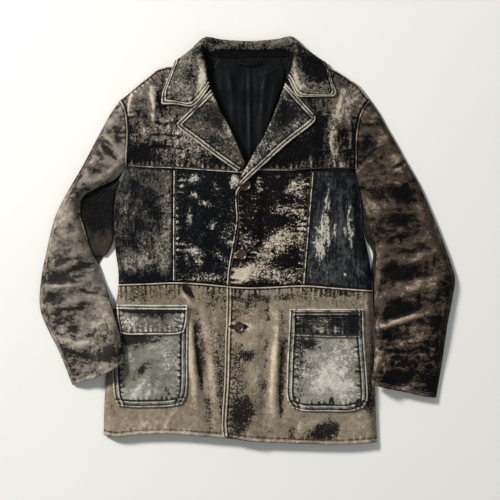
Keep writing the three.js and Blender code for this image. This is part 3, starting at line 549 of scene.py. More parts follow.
def seamEffect(kind, d, along, seed):
    # height and tone beside a seam or free edge, at distance d from it: ridge, under, hem, double or bead;
    # pale ridges are rubbed wear with a painted highlight, dark lines in the grooves are painted shade, and
    # the light and dark of the puckers is painted light and shade
    wave = puckers(along, seed)
    paleWearAndHighlight = 1.1 + 0.45 * puckers(along, seed + 500, 26)
    if kind == "ridge":
        spread = np.exp(-d / 11) * ease(3, 6, d)
        z = 1.1 * bell(d, 1.6, 1.4) - 0.4 * bell(d, 4.4, 1.0) + 0.55 * wave * spread
        # pale ridge, painted shade in the groove beside it, painted light and shade on the puckers
        tone = paleWearAndHighlight * bell(d, 1.5, 1.25) - 0.9 * bell(d, 4.4, 1.3) + 0.95 * wave * spread
    elif kind == "under":
        z = -0.9 * np.exp(-d / 2.2) + 0.3 * wave * np.exp(-d / 9) * ease(1, 4, d)
        # painted shadow where this panel runs under the seam, painted light and shade on its puckers
        tone = -1.5 * bell(d, 0, 2.6) + 0.3 * wave * np.exp(-d / 10) * ease(1, 4, d)
    elif kind == "hem":
        z = 0.5 * bell(d, 1.4, 1.6) - 0.4 * bell(d, 9, 1.1) + 0.25 * wave * bell(d, 9, 5)
        # a dark line at the edge, painted shade in the stitch groove at 9 mm, painted light and shade on the
        # puckers
        tone = -0.5 * bell(d, 0, 1.6) + 0.35 * bell(d, 5, 2.5) - 0.5 * bell(d, 9, 1.3)
        tone = tone + 0.2 * wave * bell(d, 11, 5)
    elif kind == "double":
        z = 0.9 * bell(d, 1.8, 1.5) - 0.5 * bell(d, 4.6, 1.0) + 0.8 * bell(d, 8.2, 1.9)
        z = z - 0.35 * bell(d, 11.2, 1.0) + 0.2 * wave * bell(d, 13, 4)
        # pale ridges, painted shade in the grooves at 4.7 and 11.2 mm, painted light and shade on the puckers
        tone = paleWearAndHighlight * bell(d, 1.6, 1.4) - 0.9 * bell(d, 4.7, 1.2) + 0.9 * paleWearAndHighlight * bell(d, 8, 1.5)
        tone = tone - 0.8 * bell(d, 11.2, 1.4) + 0.3 * wave * bell(d, 14, 5)
    else:
        z = 0.9 * bell(d, 1.7, 1.5) - 0.5 * bell(d, 4.2, 0.9) + 0.9 * bell(d, 10.4, 1.5)
        z = z - 0.5 * bell(d, 13, 1.0) + 0.3 * wave * bell(d, 16, 4)
        # pale beads, painted shade in the grooves at 4 and 12.8 mm, painted light and shade on the puckers
        tone = 0.6 * paleWearAndHighlight * bell(d, 1.5, 1.0) - 0.75 * bell(d, 4.0, 1.5) - 0.1 * bell(d, 7, 2)
        tone = tone + 0.6 * paleWearAndHighlight * bell(d, 10.0, 1.1) - 1.2 * bell(d, 12.8, 1.6)
        tone = tone - 0.5 * wave * bell(d, 17, 4)
    return z, tone


def creaseEffect(look, x, y):
    # creases: x and y of three or four points, then height and width
    z = np.zeros(x.shape)
    for *points, height, width in look.get("creases", []):
        d, t = near(line(np.reshape(points, (-1, 2))), x, y, 14)
        z += height * np.minimum(1, 5 * t * (1 - t)) * bell(d, 0, width)
    return z


def uncovered(look, x, y):
    # 1 in the open, 0 under a layer that lies on this one; covers: x1, y1, x2, y2
    share = np.ones(x.shape)
    for x1, y1, x2, y2 in look.get("covers", []):
        across = ease(x1 - 2, x1 + 6, x) * ease(x2 + 2, x2 - 6, x)
        share = share * (1 - across * ease(y1 - 2, y1 + 6, y) * ease(y2 + 2, y2 - 6, y))
    return share


stitchLines = {}
# how far creases and folds are made pale on top, as rubbed wear with a painted highlight, and the painted
# shade beside the folds
plainCreaseRubAndShade = 0.22
foldPale = 0.17
foldDark = 0.12
foldDarkest = -0.3
foldSpread = 2.2


def settle(piece, look):
    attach(piece, "root")
    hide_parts(look["node"])
    flat = tuple(side * metre for side in look["flat"])
    look["area"] * metre * metre
    return piece


def buildPanel(look, grid, height, seams=(), wall=leather, material=None):
    # seams: kind, line, distance of the stitches from it (0 for none), seed
    x, y = grid[..., 0], grid[..., 1]
    tone, flake = paint(look, x, y)
    fine = creaseEffect(look, x, y)
    # raised creases are made pale, rubbed wear with a painted highlight, and sunken creases are painted dark
    # as shade
    tone = tone + fine * look.get("creaseRubAndShade", plainCreaseRubAndShade)
    if "folds" in look:
        # pale on top of the folds, rubbed wear with a painted highlight, and painted shade beside them
        wide = [[*fold[:5], fold[5] * foldSpread] for fold in look["folds"]]
        foldRubHighlightShade = foldPale * foldHeight(look["folds"], x, y) - foldDark * foldHeight(wide, x, y)
        tone = tone + np.maximum(foldRubHighlightShade * look.get("foldTone", 1), foldDarkest)
    for kind, curve, _, seed in seams:
        d, t = near(curve, x, y)
        z, change = seamEffect(kind, d, t * lengthOf(curve), seed)
        fine = fine + z
        tone = tone + change * look.get("seamTone", 1)
    for cx, cy, halfX, halfY in look.get("eyes", []):
        # a buttonhole, with its worked edge
        q = np.sqrt(((x - cx) / halfX) ** 2 + ((y - cy) / halfY) ** 2)
        fine = fine + 0.9 * bell(q, 1.15, 0.22) - 1.0 * ease(1, 0.6, q)
        tone = tone + 1.1 * bell(q, 1.2, 0.22) - 2.5 * ease(1.05, 0.8, q)
    outer = np.stack([x, y, height(x, y) + fine * uncovered(look, x, y)], -1)
    values = {"tone": tone, "flake": flake, "cloth": outer}
    piece = makeShell(look["name"], outer, wall, 1, values, material or leatherMaterial(look))
    for _, curve, offset, _ in seams:
        if offset:
            stitchAlong(look["name"], outer, curve, offset)
    return settle(piece, look)


def stitchAlong(name, outer, curve, offset):
    # a row of points on the piece's own surface, offset from a line towards the inside of the piece
    points = curve(np.linspace(0, 1, max(8, round(lengthOf(curve) / 4))))[:, :2]
    along = np.gradient(points, axis=0)
    along /= np.linalg.norm(along, axis=1, keepdims=True)
    beside = np.stack([-along[:, 1], along[:, 0]], -1)
    flat = outer.reshape(-1, 3)
    if np.mean((flat[:, :2].mean(0) - points) * beside) < 0:
        beside = -beside
    wanted = points + beside * offset
    row = []
    for p in wanted:
        gaps = np.hypot(flat[:, 0] - p[0], flat[:, 1] - p[1])
        closest = np.argpartition(gaps, 3)[:3]
        if gaps[closest].min() < 3:
            weights = 1 / (gaps[closest] + 0.05)
            row.append([*p, (flat[closest, 2] * weights).sum() / weights.sum()])
        elif len(row) > 3:
            stitchLines.setdefault(name, []).append(np.array(row))
            row = []
    if len(row) > 3:
        stitchLines.setdefault(name, []).append(np.array(row))


# back, lining and hanger loop
print("back and lining")
neckSeam = line([[-92, 362], [-58, 363], [4, 363], [67, 365], [96, 367]])
backHem = line([[-288, -390], [-150, -388], [0, -396], [120, -402], [260, -404]])
outlineSteps = [0.16, 0.2, 0.64]


def chain(*curves):
    # several lines as one, each with its share of the steps
    starts = np.cumsum([0, *outlineSteps])

    def at(t):
        t = np.asarray(t, float)
        points = np.zeros((*t.shape, 2))
        for k, curve in enumerate(curves):
            inside = (t >= starts[k]) & (t <= starts[k + 1] + 1e-9)
            points[inside] = curve((t[inside] - starts[k]) / outlineSteps[k])
        return points
    return at


backLook = {
    "name": "back_panel", "node": "back", "slot": "worn_leather", "flat": (560, 772), "area": 400000,
    "on": [],
    "ground": (0.085, 0.07, 0.053), "pale": (0.30, 0.25, 0.19), "dark": (0.006, 0.006, 0.006),
    "tone": -0.1, "flake": 0.6, "cloud": 1.6, "blotch": 1.4,
    "zones": [[4, 300, 120, 110, 0, -2.6, -0.6]],
}
backEdge = chain(part(rightShoulder, 1, 0), rightArmhole, rightSide)
backOther = chain(part(leftShoulder, 1, 0), leftArmhole, leftSide)
backGrid = plan(neckSeam, backHem, backEdge, backOther, np.linspace(0, 1, 96), np.linspace(0, 1, 126))
buildPanel(backLook, pull(backGrid), backTop)

liningFolds = [
    [4, 356, 6, 150, 2.6, 4], [-34, 340, -22, 160, 2, 8], [36, 340, 26, 170, 2.2, 8],
    [-56, 330, -34, 210, 1.6, 6], [60, 320, 40, 220, 1.8, 7], [-12, 330, -8, 170, 1.2, 7],
]
liningLook = {
    "name": "satin_lining", "node": "back_lining", "slot": "lining_satin", "flat": (144, 253),
    "area": 24500, "on": ["back_panel"],
    "tone": 0, "flake": 0,
    "creases": [
        [5, 357, 5, 300, 7, 180, 1.2, 1.6], [-2, 350, -8, 290, -6, 230, 0.9, 3],
        [14, 352, 20, 300, 16, 240, 0.9, 3], [-40, 345, -30, 300, -26, 240, 1.0, 4],
        [44, 350, 34, 300, 30, 250, 1.0, 4], [-60, 345, -44, 330, -20, 322, 0.8, 3],
        [62, 345, 40, 332, 18, 326, 0.8, 3], [-20, 300, -14, 250, -10, 190, 0.8, 5],
    ],
}


def liningHeight(x, y):
    flat = backTop(x, y) + stackGap + liningWall + 0.4 + 1.2 * ease(360, 300, y)
    return flat + foldHeight(liningFolds, x, y)


def satinMaterial():
    material, start = newShader("black_satin")
    cloth = attributeOf(start, "cloth", "Vector")
    weave = cloth.noise((0.5, 3, 1), 2) + cloth.noise((3, 0.5, 1), 2)
    tint = cloth.noise(40, 2).smooth(0.3, 0.7).mix((0.0012, 0.0014, 0.0017), (0.0045, 0.005, 0.006))
    rough = cloth.noise(18, 3) * 0.2 + 0.3
    return finishShader(start, material, weave + cloth.noise(6, 3) * 2, 0.25, 0.6, Base_Color=tint,
                        Roughness=rough, Specular_IOR_Level=0.13)


satin = satinMaterial()
liningGrid = plan(
    line([[-56, 361], [4, 361], [66, 362.5]]),
    line([[-12, 112], [6, 108], [24, 112]]),
    line([[-56, 361], [-70, 335], [-62, 290], [-38, 225], [-12, 112]]),
    line([[66, 362.5], [74, 335], [62, 290], [40, 225], [24, 112]]),
)
buildPanel(liningLook, liningGrid, liningHeight, wall=liningWall, material=satin)

loopSheet = {
    "name": "satin_loop", "node": "hanger_loop", "slot": "lining_satin", "flat": (12, 50), "area": 310,
    "on": ["satin_lining"],
}
loopU, loopV = np.meshgrid(np.linspace(0, 1, 40), np.linspace(0, 1, 7))
loopBow = np.sin(math.pi * loopU)
loopX = lerp(-17, 29, loopU)
loopCurl = 0.3 * np.sin(loopU * 21) * (loopV - 0.5)
loopZ = liningHeight(loopX, 356 + 0 * loopX) + liningWall + 0.6 + 1.6 * loopBow + loopCurl
loopGrid = np.stack([loopX, 358 - 5 * loopBow - 6 * loopV, loopZ], -1)
settle(makeShell("satin_loop", loopGrid, liningWall, 1, {"cloth": loopGrid}, satin), loopSheet)

# yokes
print("yokes")
rightYokeLook = {
    "name": "right_yoke", "node": "right_front_yoke", "slot": "worn_leather", "flat": (262, 232),
    "area": 39200, "on": ["back_panel"],
    "ground": (0.082, 0.070, 0.056), "ground2": (0.115, 0.098, 0.078), "pale": (0.42, 0.37, 0.30),
    "dark": (0.0025, 0.0025, 0.003), "tone": -0.16, "flake": 0.65, "cloud": 0.9, "blotch": 1.7,
    "fleck": 3.2, "stroke": 1.8, "strokeSize": (4, 26, 4), "crack": 0.5, "crackSize": 11,
    "folds": bodyFolds, "foldTone": 0.55, "creaseRubAndShade": 0.6,
    "zones": [
        # the zone at (-190, 265) is a painted highlight along a fold
        [-208, 300, 30, 42, -25, 0.3, -0.4], [-190, 265, 9, 38, 4, 0.2, -0.3],
        [-231, 262, 8, 26, 5, 0.35, -0.2], [-155, 215, 50, 34, 0, 0.4, 0.5],
        [-110, 190, 34, 26, -20, 0.3, 0.5], [-214, 172, 26, 20, 0, -1.1, 0.2],
        [-120, 165, 60, 14, 0, 0.05, 0.6], [-150, 300, 40, 26, -20, 0.12, 0.2],
        [-62, 160, 40, 12, -10, -0.7, 0.2], [-218, 224, 14, 22, 0, -0.25, 0.2],
        [-178, 188, 16, 8, 0, -0.5, 0.2], [-128, 236, 22, 7, 0, -0.45, 0.3],
        [-175, 160, 14, 10, 0, -0.5, 0.4], [-88, 215, 20, 8, 20, -0.4, 0.2],
    ],
    "creases": [
        [-198, 236, -165, 232, -135, 236, -1.0, 2.2], [-202, 208, -170, 210, -128, 204, -1.1, 2.2],
        [-196, 184, -160, 186, -110, 178, -0.9, 2.2], [-180, 246, -176, 215, -180, 180, -0.9, 2],
        [-148, 242, -150, 205, -144, 176, -0.9, 2], [-230, 300, -236, 265, -238, 235, 1.2, 2.5],
        [-192, 310, -186, 262, -190, 225, 1.2, 3], [-180, 300, -172, 260, -176, 240, -1, 3],
        [-214, 250, -206, 215, -210, 190, 0.9, 3], [-164, 330, -158, 300, -162, 270, 0.8, 4],
    ],
    "covers": [[-170, 240, 0, 400], [-150, 150, 0, 240]],
}
yokeSeamStitch = 4.8
rightYokeGrid = pull(plan(rightShoulder, rightYokeSeam, rightArmhole, rightYokeInner))
buildPanel(rightYokeLook, rightYokeGrid, yoke(-1), [
    ("ridge", rightYokeSeam, yokeSeamStitch, 1), ("under", rightArmhole, 0, 2),
    ("ridge", rightShoulder, 0, 3),
])

leftYokeLook = {
    "name": "left_yoke", "node": "left_front_yoke", "slot": "worn_leather", "flat": (246, 232),
    "area": 35700, "on": ["back_panel"],
    "ground": (0.055, 0.046, 0.037), "ground2": (0.09, 0.076, 0.06), "pale": (0.36, 0.31, 0.245),
    "dark": (0.002, 0.002, 0.0025), "tone": -0.2, "flake": 0.65, "cloud": 0.8, "blotch": 1.5,
    "fleck": 3.2, "stroke": 2.2, "strokeSize": (4, 28, 4), "crack": 0.3, "folds": bodyFolds,
    "foldTone": 0.5, "creaseRubAndShade": 0.5,
    "zones": [
        [205, 282, 46, 40, 40, 0.55, -0.3], [140, 205, 26, 50, 0, -0.5, 0.2],
        [172, 190, 12, 46, 8, 0.6, 0.5], [205, 186, 12, 34, 0, -0.3, 0.3], [60, 160, 50, 16, 10, -0.8, 0],
        [110, 155, 34, 14, 0, 0.1, 0.7], [212, 250, 10, 18, 0, -0.2, 0.3],
        [170, 250, 24, 18, 0, 0.2, 0.3], [95, 180, 22, 20, 0, -0.7, 0], [190, 150, 10, 8, 0, 0.5, 0.3],
    ],
    "creases": [
        [172, 240, 168, 200, 172, 158, 1.1, 3], [184, 236, 182, 200, 186, 160, -1, 2.5],
        [160, 230, 154, 195, 158, 155, 0.9, 2.6], [196, 262, 206, 220, 204, 175, 0.9, 3],
        [140, 220, 134, 190, 140, 155, -0.9, 4], [200, 310, 186, 280, 180, 250, 0.8, 5],
    ],
    "covers": [[0, 250, 185, 400], [0, 150, 140, 250]],
}
leftYokeGrid = pull(plan(part(leftShoulder, 1, 0), leftYokeSeam, leftYokeInner, leftArmhole))
buildPanel(leftYokeLook, leftYokeGrid, yoke(1), [
    ("ridge", leftYokeSeam, yokeSeamStitch, 5), ("under", leftArmhole, 0, 6),
    ("ridge", leftShoulder, 0, 7),
])

# chest panels
print("chest")
rightSplit = where(rightYokeSeam, 0, -147)
leftSplit = where(leftYokeSeam, 0, 133)
rightWaistSplit = where(rightWaist, 0, -148)
leftWaistSplit = where(leftWaist, 0, 114)
rightSideWaist = where(rightSide, 1, -88)
leftSideWaist = where(leftSide, 1, -100)
blueBlack = (0.0022, 0.0028, 0.0040)
chestSeamStitch = 5.2

rightSideChestLook = {
    "name": "right_side_chest_panel", "node": "right_side_chest", "slot": "dark_leather",
    "flat": (116, 232), "area": 25500, "on": ["back_panel"],
    "ground": (0.046, 0.043, 0.037), "ground2": (0.075, 0.064, 0.05), "pale": (0.27, 0.25, 0.21),
    "dark": blueBlack, "tone": -0.2, "flake": 0.7, "cloud": 1.2, "blotch": 1.6, "fleck": 3.4,
    "stroke": 2.0, "strokeSize": (3, 16, 4), "bareRange": (-0.45, 0.0), "folds": bodyFolds,
    "foldTone": 1.1, "creaseRubAndShade": 0.45,
    "zones": [
        [-198, 66, 20, 50, 8, -0.45, 0.2], [-226, 0, 14, 30, -10, -0.35, 0.2],
        [-186, -50, 10, 22, 20, -0.4, 0.3], [-161, 40, 12, 100, 0, 0.45, 0.3],
        [-188, -24, 28, 38, 0, 0.32, 0.4], [-241, -36, 13, 16, 0, 0.45, 0.3],
        [-210, -74, 44, 13, 0, -0.75, 0], [-212, 30, 9, 14, 20, -0.6, 0], [-218, 96, 26, 22, 0, -0.15, 0],
        [-246, 60, 10, 40, 10, 0.2, 0.3], [-200, 30, 14, 30, 0, 0.2, 0.2],
        [-232, -60, 16, 8, -20, 0.3, 0.2],
    ],
    "creases": [
        [-226, 120, -240, 80, -244, 40, 1.0, 3], [-214, 90, -226, 50, -224, 10, 1.0, 3],
        [-180, 60, -184, 20, -176, -30, 0.8, 5], [-232, -20, -214, -40, -200, -66, 1.0, 4],
        [-252, -40, -232, -54, -210, -56, 0.9, 4], [-206, 130, -212, 100, -210, 60, 0.8, 4],
    ],
}
rightSideChestGrid = plan(part(rightYokeSeam, 0, rightSplit), part(rightWaist, 0, rightWaistSplit),
                          part(rightSide, 0, rightSideWaist), rightChestSeam)
buildPanel(rightSideChestLook, pull(rightSideChestGrid), front(-1), [
    ("under", rightYokeSeam, 0, 11), ("under", rightChestSeam, 0, 12), ("under", rightWaist, 0, 13),
])

rightCentreChestLook = {
    "name": "right_centre_chest_panel", "node": "right_centre_chest", "slot": "dark_leather",
    "flat": (153, 232), "area": 34500, "on": ["back_panel"],
    "ground": (0.085, 0.08, 0.068), "pale": (0.46, 0.42, 0.34), "dark": blueBlack, "tone": -0.8,
    "flake": 0.9, "seamTone": 1.55, "cloud": 0.3, "blotch": 1.9, "fleck": 4.6, "blotchSize": 9,
    "fleckSize": 3.6, "stroke": 0.6, "strokeSize": (4, 18, 4), "crack": 0.2, "paleRange": (0.05, 0.4),
    "bareRange": (-0.3, -0.05),
    "zones": [
        [-106, 122, 16, 11, 10, 1.0, 0.2], [-104, 90, 9, 7, 0, 1.1, 0.2], [-84, 72, 17, 7, -12, 1.0, 0.2],
        [-116, 44, 7, 16, 0, 0.9, 0.2], [-141, 20, 5, 60, 0, 0.75, 0.3], [-70, 28, 11, 9, 0, 0.9, 0.3],
        [-104, -22, 16, 10, -30, 1.2, 0], [-120, -36, 7, 18, 20, 0.8, 0],
        [-96, -46, 12, 10, -20, 0.9, 0.2], [-78, -76, 60, 13, 0, 0.7, 0.5], [-24, 118, 11, 15, 0, 1.4, 0],
        [-30, -8, 9, 9, 0, 1.1, 0], [-42, 12, 14, 22, -20, 0.55, 0.3], [-56, -30, 14, 9, -30, 0.7, 0.2],
        [-62, 100, 12, 16, 0, 0.35, 0.2], [-130, 110, 8, 20, 0, 0.4, 0.2],
        [-126, -8, 10, 12, 0, 0.5, 0.2], [-36, -50, 18, 14, 0, 0.45, 0.3], [-28, 50, 6, 40, 0, 0.3, 0.3],
    ],
    "creases": [
        [-122, -16, -112, -40, -106, -66, -1.2, 3], [-92, 20, -84, -20, -90, -60, 0.8, 4],
        [-60, -40, -66, -62, -64, -84, 1.0, 3], [-80, -44, -84, -66, -80, -86, -1.0, 2.6],
        [-44, -44, -50, -66, -46, -86, -0.9, 2.6], [-100, -54, -104, -70, -100, -86, 1.0, 2.6],
        [-120, 100, -110, 60, -116, 30, 0.7, 5], [-60, 110, -50, 60, -56, 20, 0.7, 6],
    ],
    "covers": [[-20, -100, 30, 100], [-40, 100, 30, 150]],
}
rightCentreChestGrid = plan(part(rightYokeSeam, rightSplit, 1), part(rightWaist, rightWaistSplit, 1),
                            rightChestSeam, rightCentreInner)
buildPanel(rightCentreChestLook, pull(rightCentreChestGrid), front(-1), [
    ("under", rightYokeSeam, 0, 14), ("ridge", rightChestSeam, chestSeamStitch, 15),
    ("under", rightWaist, 0, 16),
])

leftCentreChestLook = {
    "name": "left_centre_chest_panel", "node": "left_centre_chest", "slot": "dark_leather",
    "flat": (164, 232), "area": 33500, "on": ["right_centre_chest_panel"],
    "ground": (0.10, 0.086, 0.068), "pale": (0.47, 0.40, 0.315), "dark": (0.0028, 0.0022, 0.0024),
    "seamTone": 1.55, "tone": -0.8, "flake": 0.95, "cloud": 0.3, "blotch": 1.9, "fleck": 4.8,
    "blotchSize": 10, "stroke": 2.0, "strokeSize": (18, 5, 4), "fleckSize": 3.8, "crack": 0.2,
    "paleRange": (0.05, 0.42), "bareRange": (-0.3, -0.05),
    "zones": [
        [105, 104, 20, 24, 0, 0.9, 0.3], [84, 100, 12, 10, 30, 0.6, 0.3], [92, 58, 34, 14, 0, 0.8, 0.4],
        [62, 60, 14, 8, 0, 0.5, 0.4], [84, 12, 42, 24, 30, 0.8, 0.6], [50, -16, 40, 24, 35, 0.85, 0.3],
        [6, -64, 40, 18, 20, 1.2, -0.2], [70, -72, 48, 20, 0, 0.85, 0.4],
        [-14, -66, 18, 22, 0, 0.8, -0.3], [58, 40, 19, 10, 0, -1.3, 0], [90, 34, 10, 9, 0, -0.8, 0.2],
        [74, -38, 24, 8, 5, -0.9, 0.3], [-2, 4, 20, 12, 20, 0.6, 0.3], [-2, -16, 18, 8, 30, 0.6, 0.3],
        [24, 108, 8, 15, 0, 0.9, 0.2], [14, 60, 14, 16, 0, 0.15, 0.3], [108, 0, 8, 50, 0, 0.5, 0.3],
        [34, -92, 30, 5, 0, -0.8, 0.4], [60, -52, 16, 6, 0, -0.5, 0.3], [12, 88, 8, 8, 0, 0.4, 0.3],
    ],
    "creases": [
        [80, 30, 46, -10, 20, -60, 1.2, 4], [2, -40, 4, -60, -4, -86, 1.0, 3],
        [30, -40, 16, -56, 4, -84, -1.0, 3], [92, 120, 100, 100, 112, 76, 0.8, 3],
        [60, 110, 64, 70, 56, 40, 0.7, 6], [100, -30, 80, -44, 50, -50, 0.8, 4],
        [-16, 60, -10, 20, -14, -20, 0.7, 4],
    ],
    "eyes": [[-1, -29, 21, 4.2]],
}
leftCentreChestGrid = plan(part(leftYokeSeam, 0, leftSplit), part(leftWaist, 0, leftWaistSplit),
                           leftCentreInner, leftChestSeam)
buildPanel(leftCentreChestLook, pull(leftCentreChestGrid), front(1), [
    ("under", leftYokeSeam, 0, 21), ("ridge", leftChestSeam, chestSeamStitch, 22),
    ("under", leftWaist, 0, 23), ("ridge", leftCentreInner, 6, 24),
])

leftSideChestLook = {
    "name": "left_side_chest_panel", "node": "left_side_chest", "slot": "dark_leather",
    "flat": (130, 240), "area": 26500, "on": ["back_panel"],
    "ground": (0.046, 0.047, 0.048), "pale": (0.42, 0.395, 0.33), "dark": (0.0045, 0.006, 0.008),
    "tone": -0.24, "flake": 0.4, "bareRange": (-0.55, 0.1), "cloud": 1.0, "blotch": 1.2, "fleck": 3.0,
    "stroke": 4.4, "fleckSize": 5, "strokeSize": (5, 40, 4), "folds": bodyFolds, "foldTone": 1,
    "creaseRubAndShade": 0.4,
    "zones": [
        [157, 40, 8, 60, -3, 0.55, 0.9], [148, -4, 15, 34, 0, 0.75, 1.0], [170, 10, 8, 42, 0, 0.3, 0.5],
        [205, 30, 7, 52, 2, 0.6, 0.9], [195, 20, 2.5, 12, 5, 0.8, 0.2], [195, -69, 2.2, 1.6, 20, 2.2, 0],
        [226, 60, 10, 50, 0, 0.2, 0.2], [180, 90, 20, 40, 0, -0.2, 0], [140, 100, 10, 30, 0, -0.2, 0],
        [160, -60, 30, 22, 0, 0.15, 0.2], [236, -60, 12, 30, 0, -0.3, 0],
    ],
    "creases": [
        [158, 100, 152, 40, 150, -20, 1.0, 3], [170, 110, 168, 50, 162, 0, -0.9, 3],
        [206, 90, 204, 30, 212, -30, 1.1, 3], [186, 100, 190, 40, 186, -10, 0.8, 5],
        [222, 110, 216, 60, 224, 0, -0.9, 4], [204, -60, 222, -76, 240, -92, -0.9, 2.5],
        [214, -52, 230, -66, 244, -80, 0.8, 2.5], [150, -30, 180, -36, 206, -30, 0.6, 3],
    ],
}
leftSideChestGrid = plan(part(leftYokeSeam, leftSplit, 1), part(leftWaist, leftWaistSplit, 1),
                         leftChestSeam, part(leftSide, 0, leftSideWaist))
buildPanel(leftSideChestLook, pull(leftSideChestGrid), front(1), [
    ("under", leftYokeSeam, 0, 25), ("under", leftChestSeam, 0, 26), ("under", leftWaist, 0, 27),
])

# skirts
print("skirts")
tan = (0.185, 0.150, 0.104)
hemStitch = 9
rightSkirtLook = {
    "name": "right_skirt_panel", "node": "right_skirt", "slot": "worn_leather", "flat": (300, 316),
    "area": 89000, "on": ["back_panel"],
    "ground": tan, "ground2": (0.235, 0.195, 0.142), "pale": (0.44, 0.375, 0.28),
    "dark": (0.012, 0.010, 0.009), "tone": 0.10, "flake": 0.45, "cloud": 0.6, "blotch": 0.9, "fleck": 3.2,
    "stroke": 0.5, "crack": 0.1, "fleckSize": 3.2, "folds": bodyFolds, "foldTone": 1.1, "creaseRubAndShade": 0.35,
    "zones": [
        # the zone at (-124, -98) is painted shadow beside a puckered fold below the waist seam
        [-205, -106, 64, 18, 0, -0.3, 0.5], [-124, -98, 7, 14, 40, -0.9, 0.3],
        [-66, -112, 28, 26, 0, -0.28, 0.5], [-62, -240, 22, 80, 4, -0.16, 0.9],
        [-58, -330, 20, 50, 0, -0.2, 0.7], [-200, -362, 80, 26, 0, 0.1, -0.2],
        [-116, -240, 6, 120, -4, 0.25, -0.2], [-84, -300, 8, 90, -8, 0.2, -0.2],
        [-275, -340, 10, 50, 0, -0.1, 0.3], [-30, -140, 14, 40, 0, -0.2, 0.6],
        [-20, -330, 20, 50, 0, -0.5, 0.6], [-160, -395, 80, 5, 0, -0.3, 0.4],
    ],
    "creases": [
        [-132, -92, -124, -110, -110, -128, 1.4, 3], [-126, -88, -114, -104, -102, -120, -1.4, 3],
        [-110, -140, -100, -220, -84, -330, -1.0, 4], [-118, -130, -116, -220, -106, -330, 0.8, 4],
        [-76, -340, -66, -365, -62, -384, 0.9, 4], [-136, -342, -150, -360, -154, -384, -1.2, 4],
        [-144, -340, -160, -362, -164, -384, 0.9, 4], [-214, -350, -206, -368, -210, -384, 0.7, 6],
        [-60, -120, -64, -180, -58, -240, 0.6, 7], [-246, -348, -240, -366, -244, -384, 0.6, 6],
    ],
    "covers": [[-270, -334, -118, -128], [-44, -400, 10, -96], [-290, -250, -262, -88]],
}
rightSkirtGrid = plan(rightWaist, rightHem, part(rightSide, rightSideWaist, 1), rightSkirtInner)
buildPanel(rightSkirtLook, pull(rightSkirtGrid), front(-1), [
    ("ridge", rightWaist, 0, 31), ("hem", rightHem, hemStitch, 32),
])

leftSkirtLook = {
    "name": "left_skirt_panel", "node": "left_skirt", "slot": "worn_leather", "flat": (312, 320),
    "area": 93000, "on": ["right_skirt_panel"],
    "ground": tan, "ground2": (0.23, 0.19, 0.135), "pale": (0.46, 0.39, 0.295),
    "dark": (0.011, 0.009, 0.008), "tone": 0.08, "flake": 0.5, "cloud": 0.6, "blotch": 1.0, "fleck": 3.3,
    "stroke": 0.5, "crack": 0.1, "fleckSize": 3.2, "folds": bodyFolds, "foldTone": 1.1, "creaseRubAndShade": 0.35,
    "zones": [
        [0, -231, 19, 13, 0, -0.6, 0.6], [-8, -342, 24, 34, -10, -0.85, 0.9],
        [-22, -270, 14, 60, 0, -0.2, 0.9], [154, -382, 34, 18, 15, -0.85, 0.7],
        [150, -108, 100, 14, 0, -0.25, 0.5], [-4, -130, 36, 34, 0, -0.3, 0.5],
        # the zone at (52, -250) is a painted highlight along a fold
        [52, -250, 12, 120, 4, 0.1, -0.2], [248, -230, 8, 120, 0, -0.15, 0.5],
        [120, -362, 40, 14, 0, 0.1, -0.1], [210, -366, 40, 24, 0, 0.1, -0.2],
        [30, -116, 60, 8, 0, -0.35, 0.5], [66, -170, 8, 50, 0, -0.2, 0.3],
        [90, -380, 10, 18, 0, -0.3, 0.6], [20, -170, 30, 20, 0, 0.15, 0.2],
        [244, -320, 12, 30, 0, -0.45, 0.5], [-30, -385, 20, 14, 0, -0.4, 0.7],
        [24, -300, 16, 40, 0, 0.0, 0.5],
    ],
    "creases": [
        [62, -140, 56, -240, 46, -340, 0.9, 4], [72, -200, 64, -280, 70, -384, -1.1, 4],
        [46, -108, 42, -140, 44, -172, -0.9, 4], [30, -200, 24, -280, 16, -370, 0.5, 8],
        [100, -346, 104, -366, 98, -390, 0.8, 5], [180, -346, 190, -368, 186, -394, 0.8, 6],
        [-10, -100, -4, -120, -12, -150, 0.7, 4], [14, -98, 20, -116, 14, -140, -0.7, 4],
        [244, -110, 238, -126, 244, -150, 0.8, 4], [140, -348, 132, -372, 140, -396, 0.6, 6],
    ],
    "covers": [[82, -340, 236, -138]],
    "eyes": [[-17, -172.5, 21, 5]],
}
leftSkirtGrid = plan(leftWaist, leftHem, frontEdgeLow, part(leftSide, leftSideWaist, 1))
buildPanel(leftSkirtLook, pull(leftSkirtGrid), front(1), [
    ("ridge", leftWaist, 0, 33), ("hem", leftHem, hemStitch, 34), ("double", frontEdgeLow, 5, 35),
])

# pockets and flaps
print("pockets")
layer = leather + stackGap
beadRise = 0.9


def above(height, x, y):
    # one layer over a surface, measured square to its slope
    slopeX = (height(x + 1, y) - height(x - 1, y)) / 2
    slopeY = (height(x, y + 1) - height(x, y - 1)) / 2
    return height(x, y) + layer * np.sqrt(1 + slopeX**2 + slopeY**2)


def pocketHeight(outline, side):
    def height(x, y):
        d = distance(outline, x, y)
        return above(front(side), x, y) + 1.6 * ease(2, 26, d) + beadRise * ease(13, 10, d)
    return height


def flapHeight(outline, side, pocket):
    def height(x, y):
        under = np.maximum(pocket(x, y), above(front(side), x, y) + beadRise)
        return under + layer * 1.02 + beadRise * ease(10, 7, distance(outline, x, y))
    return height


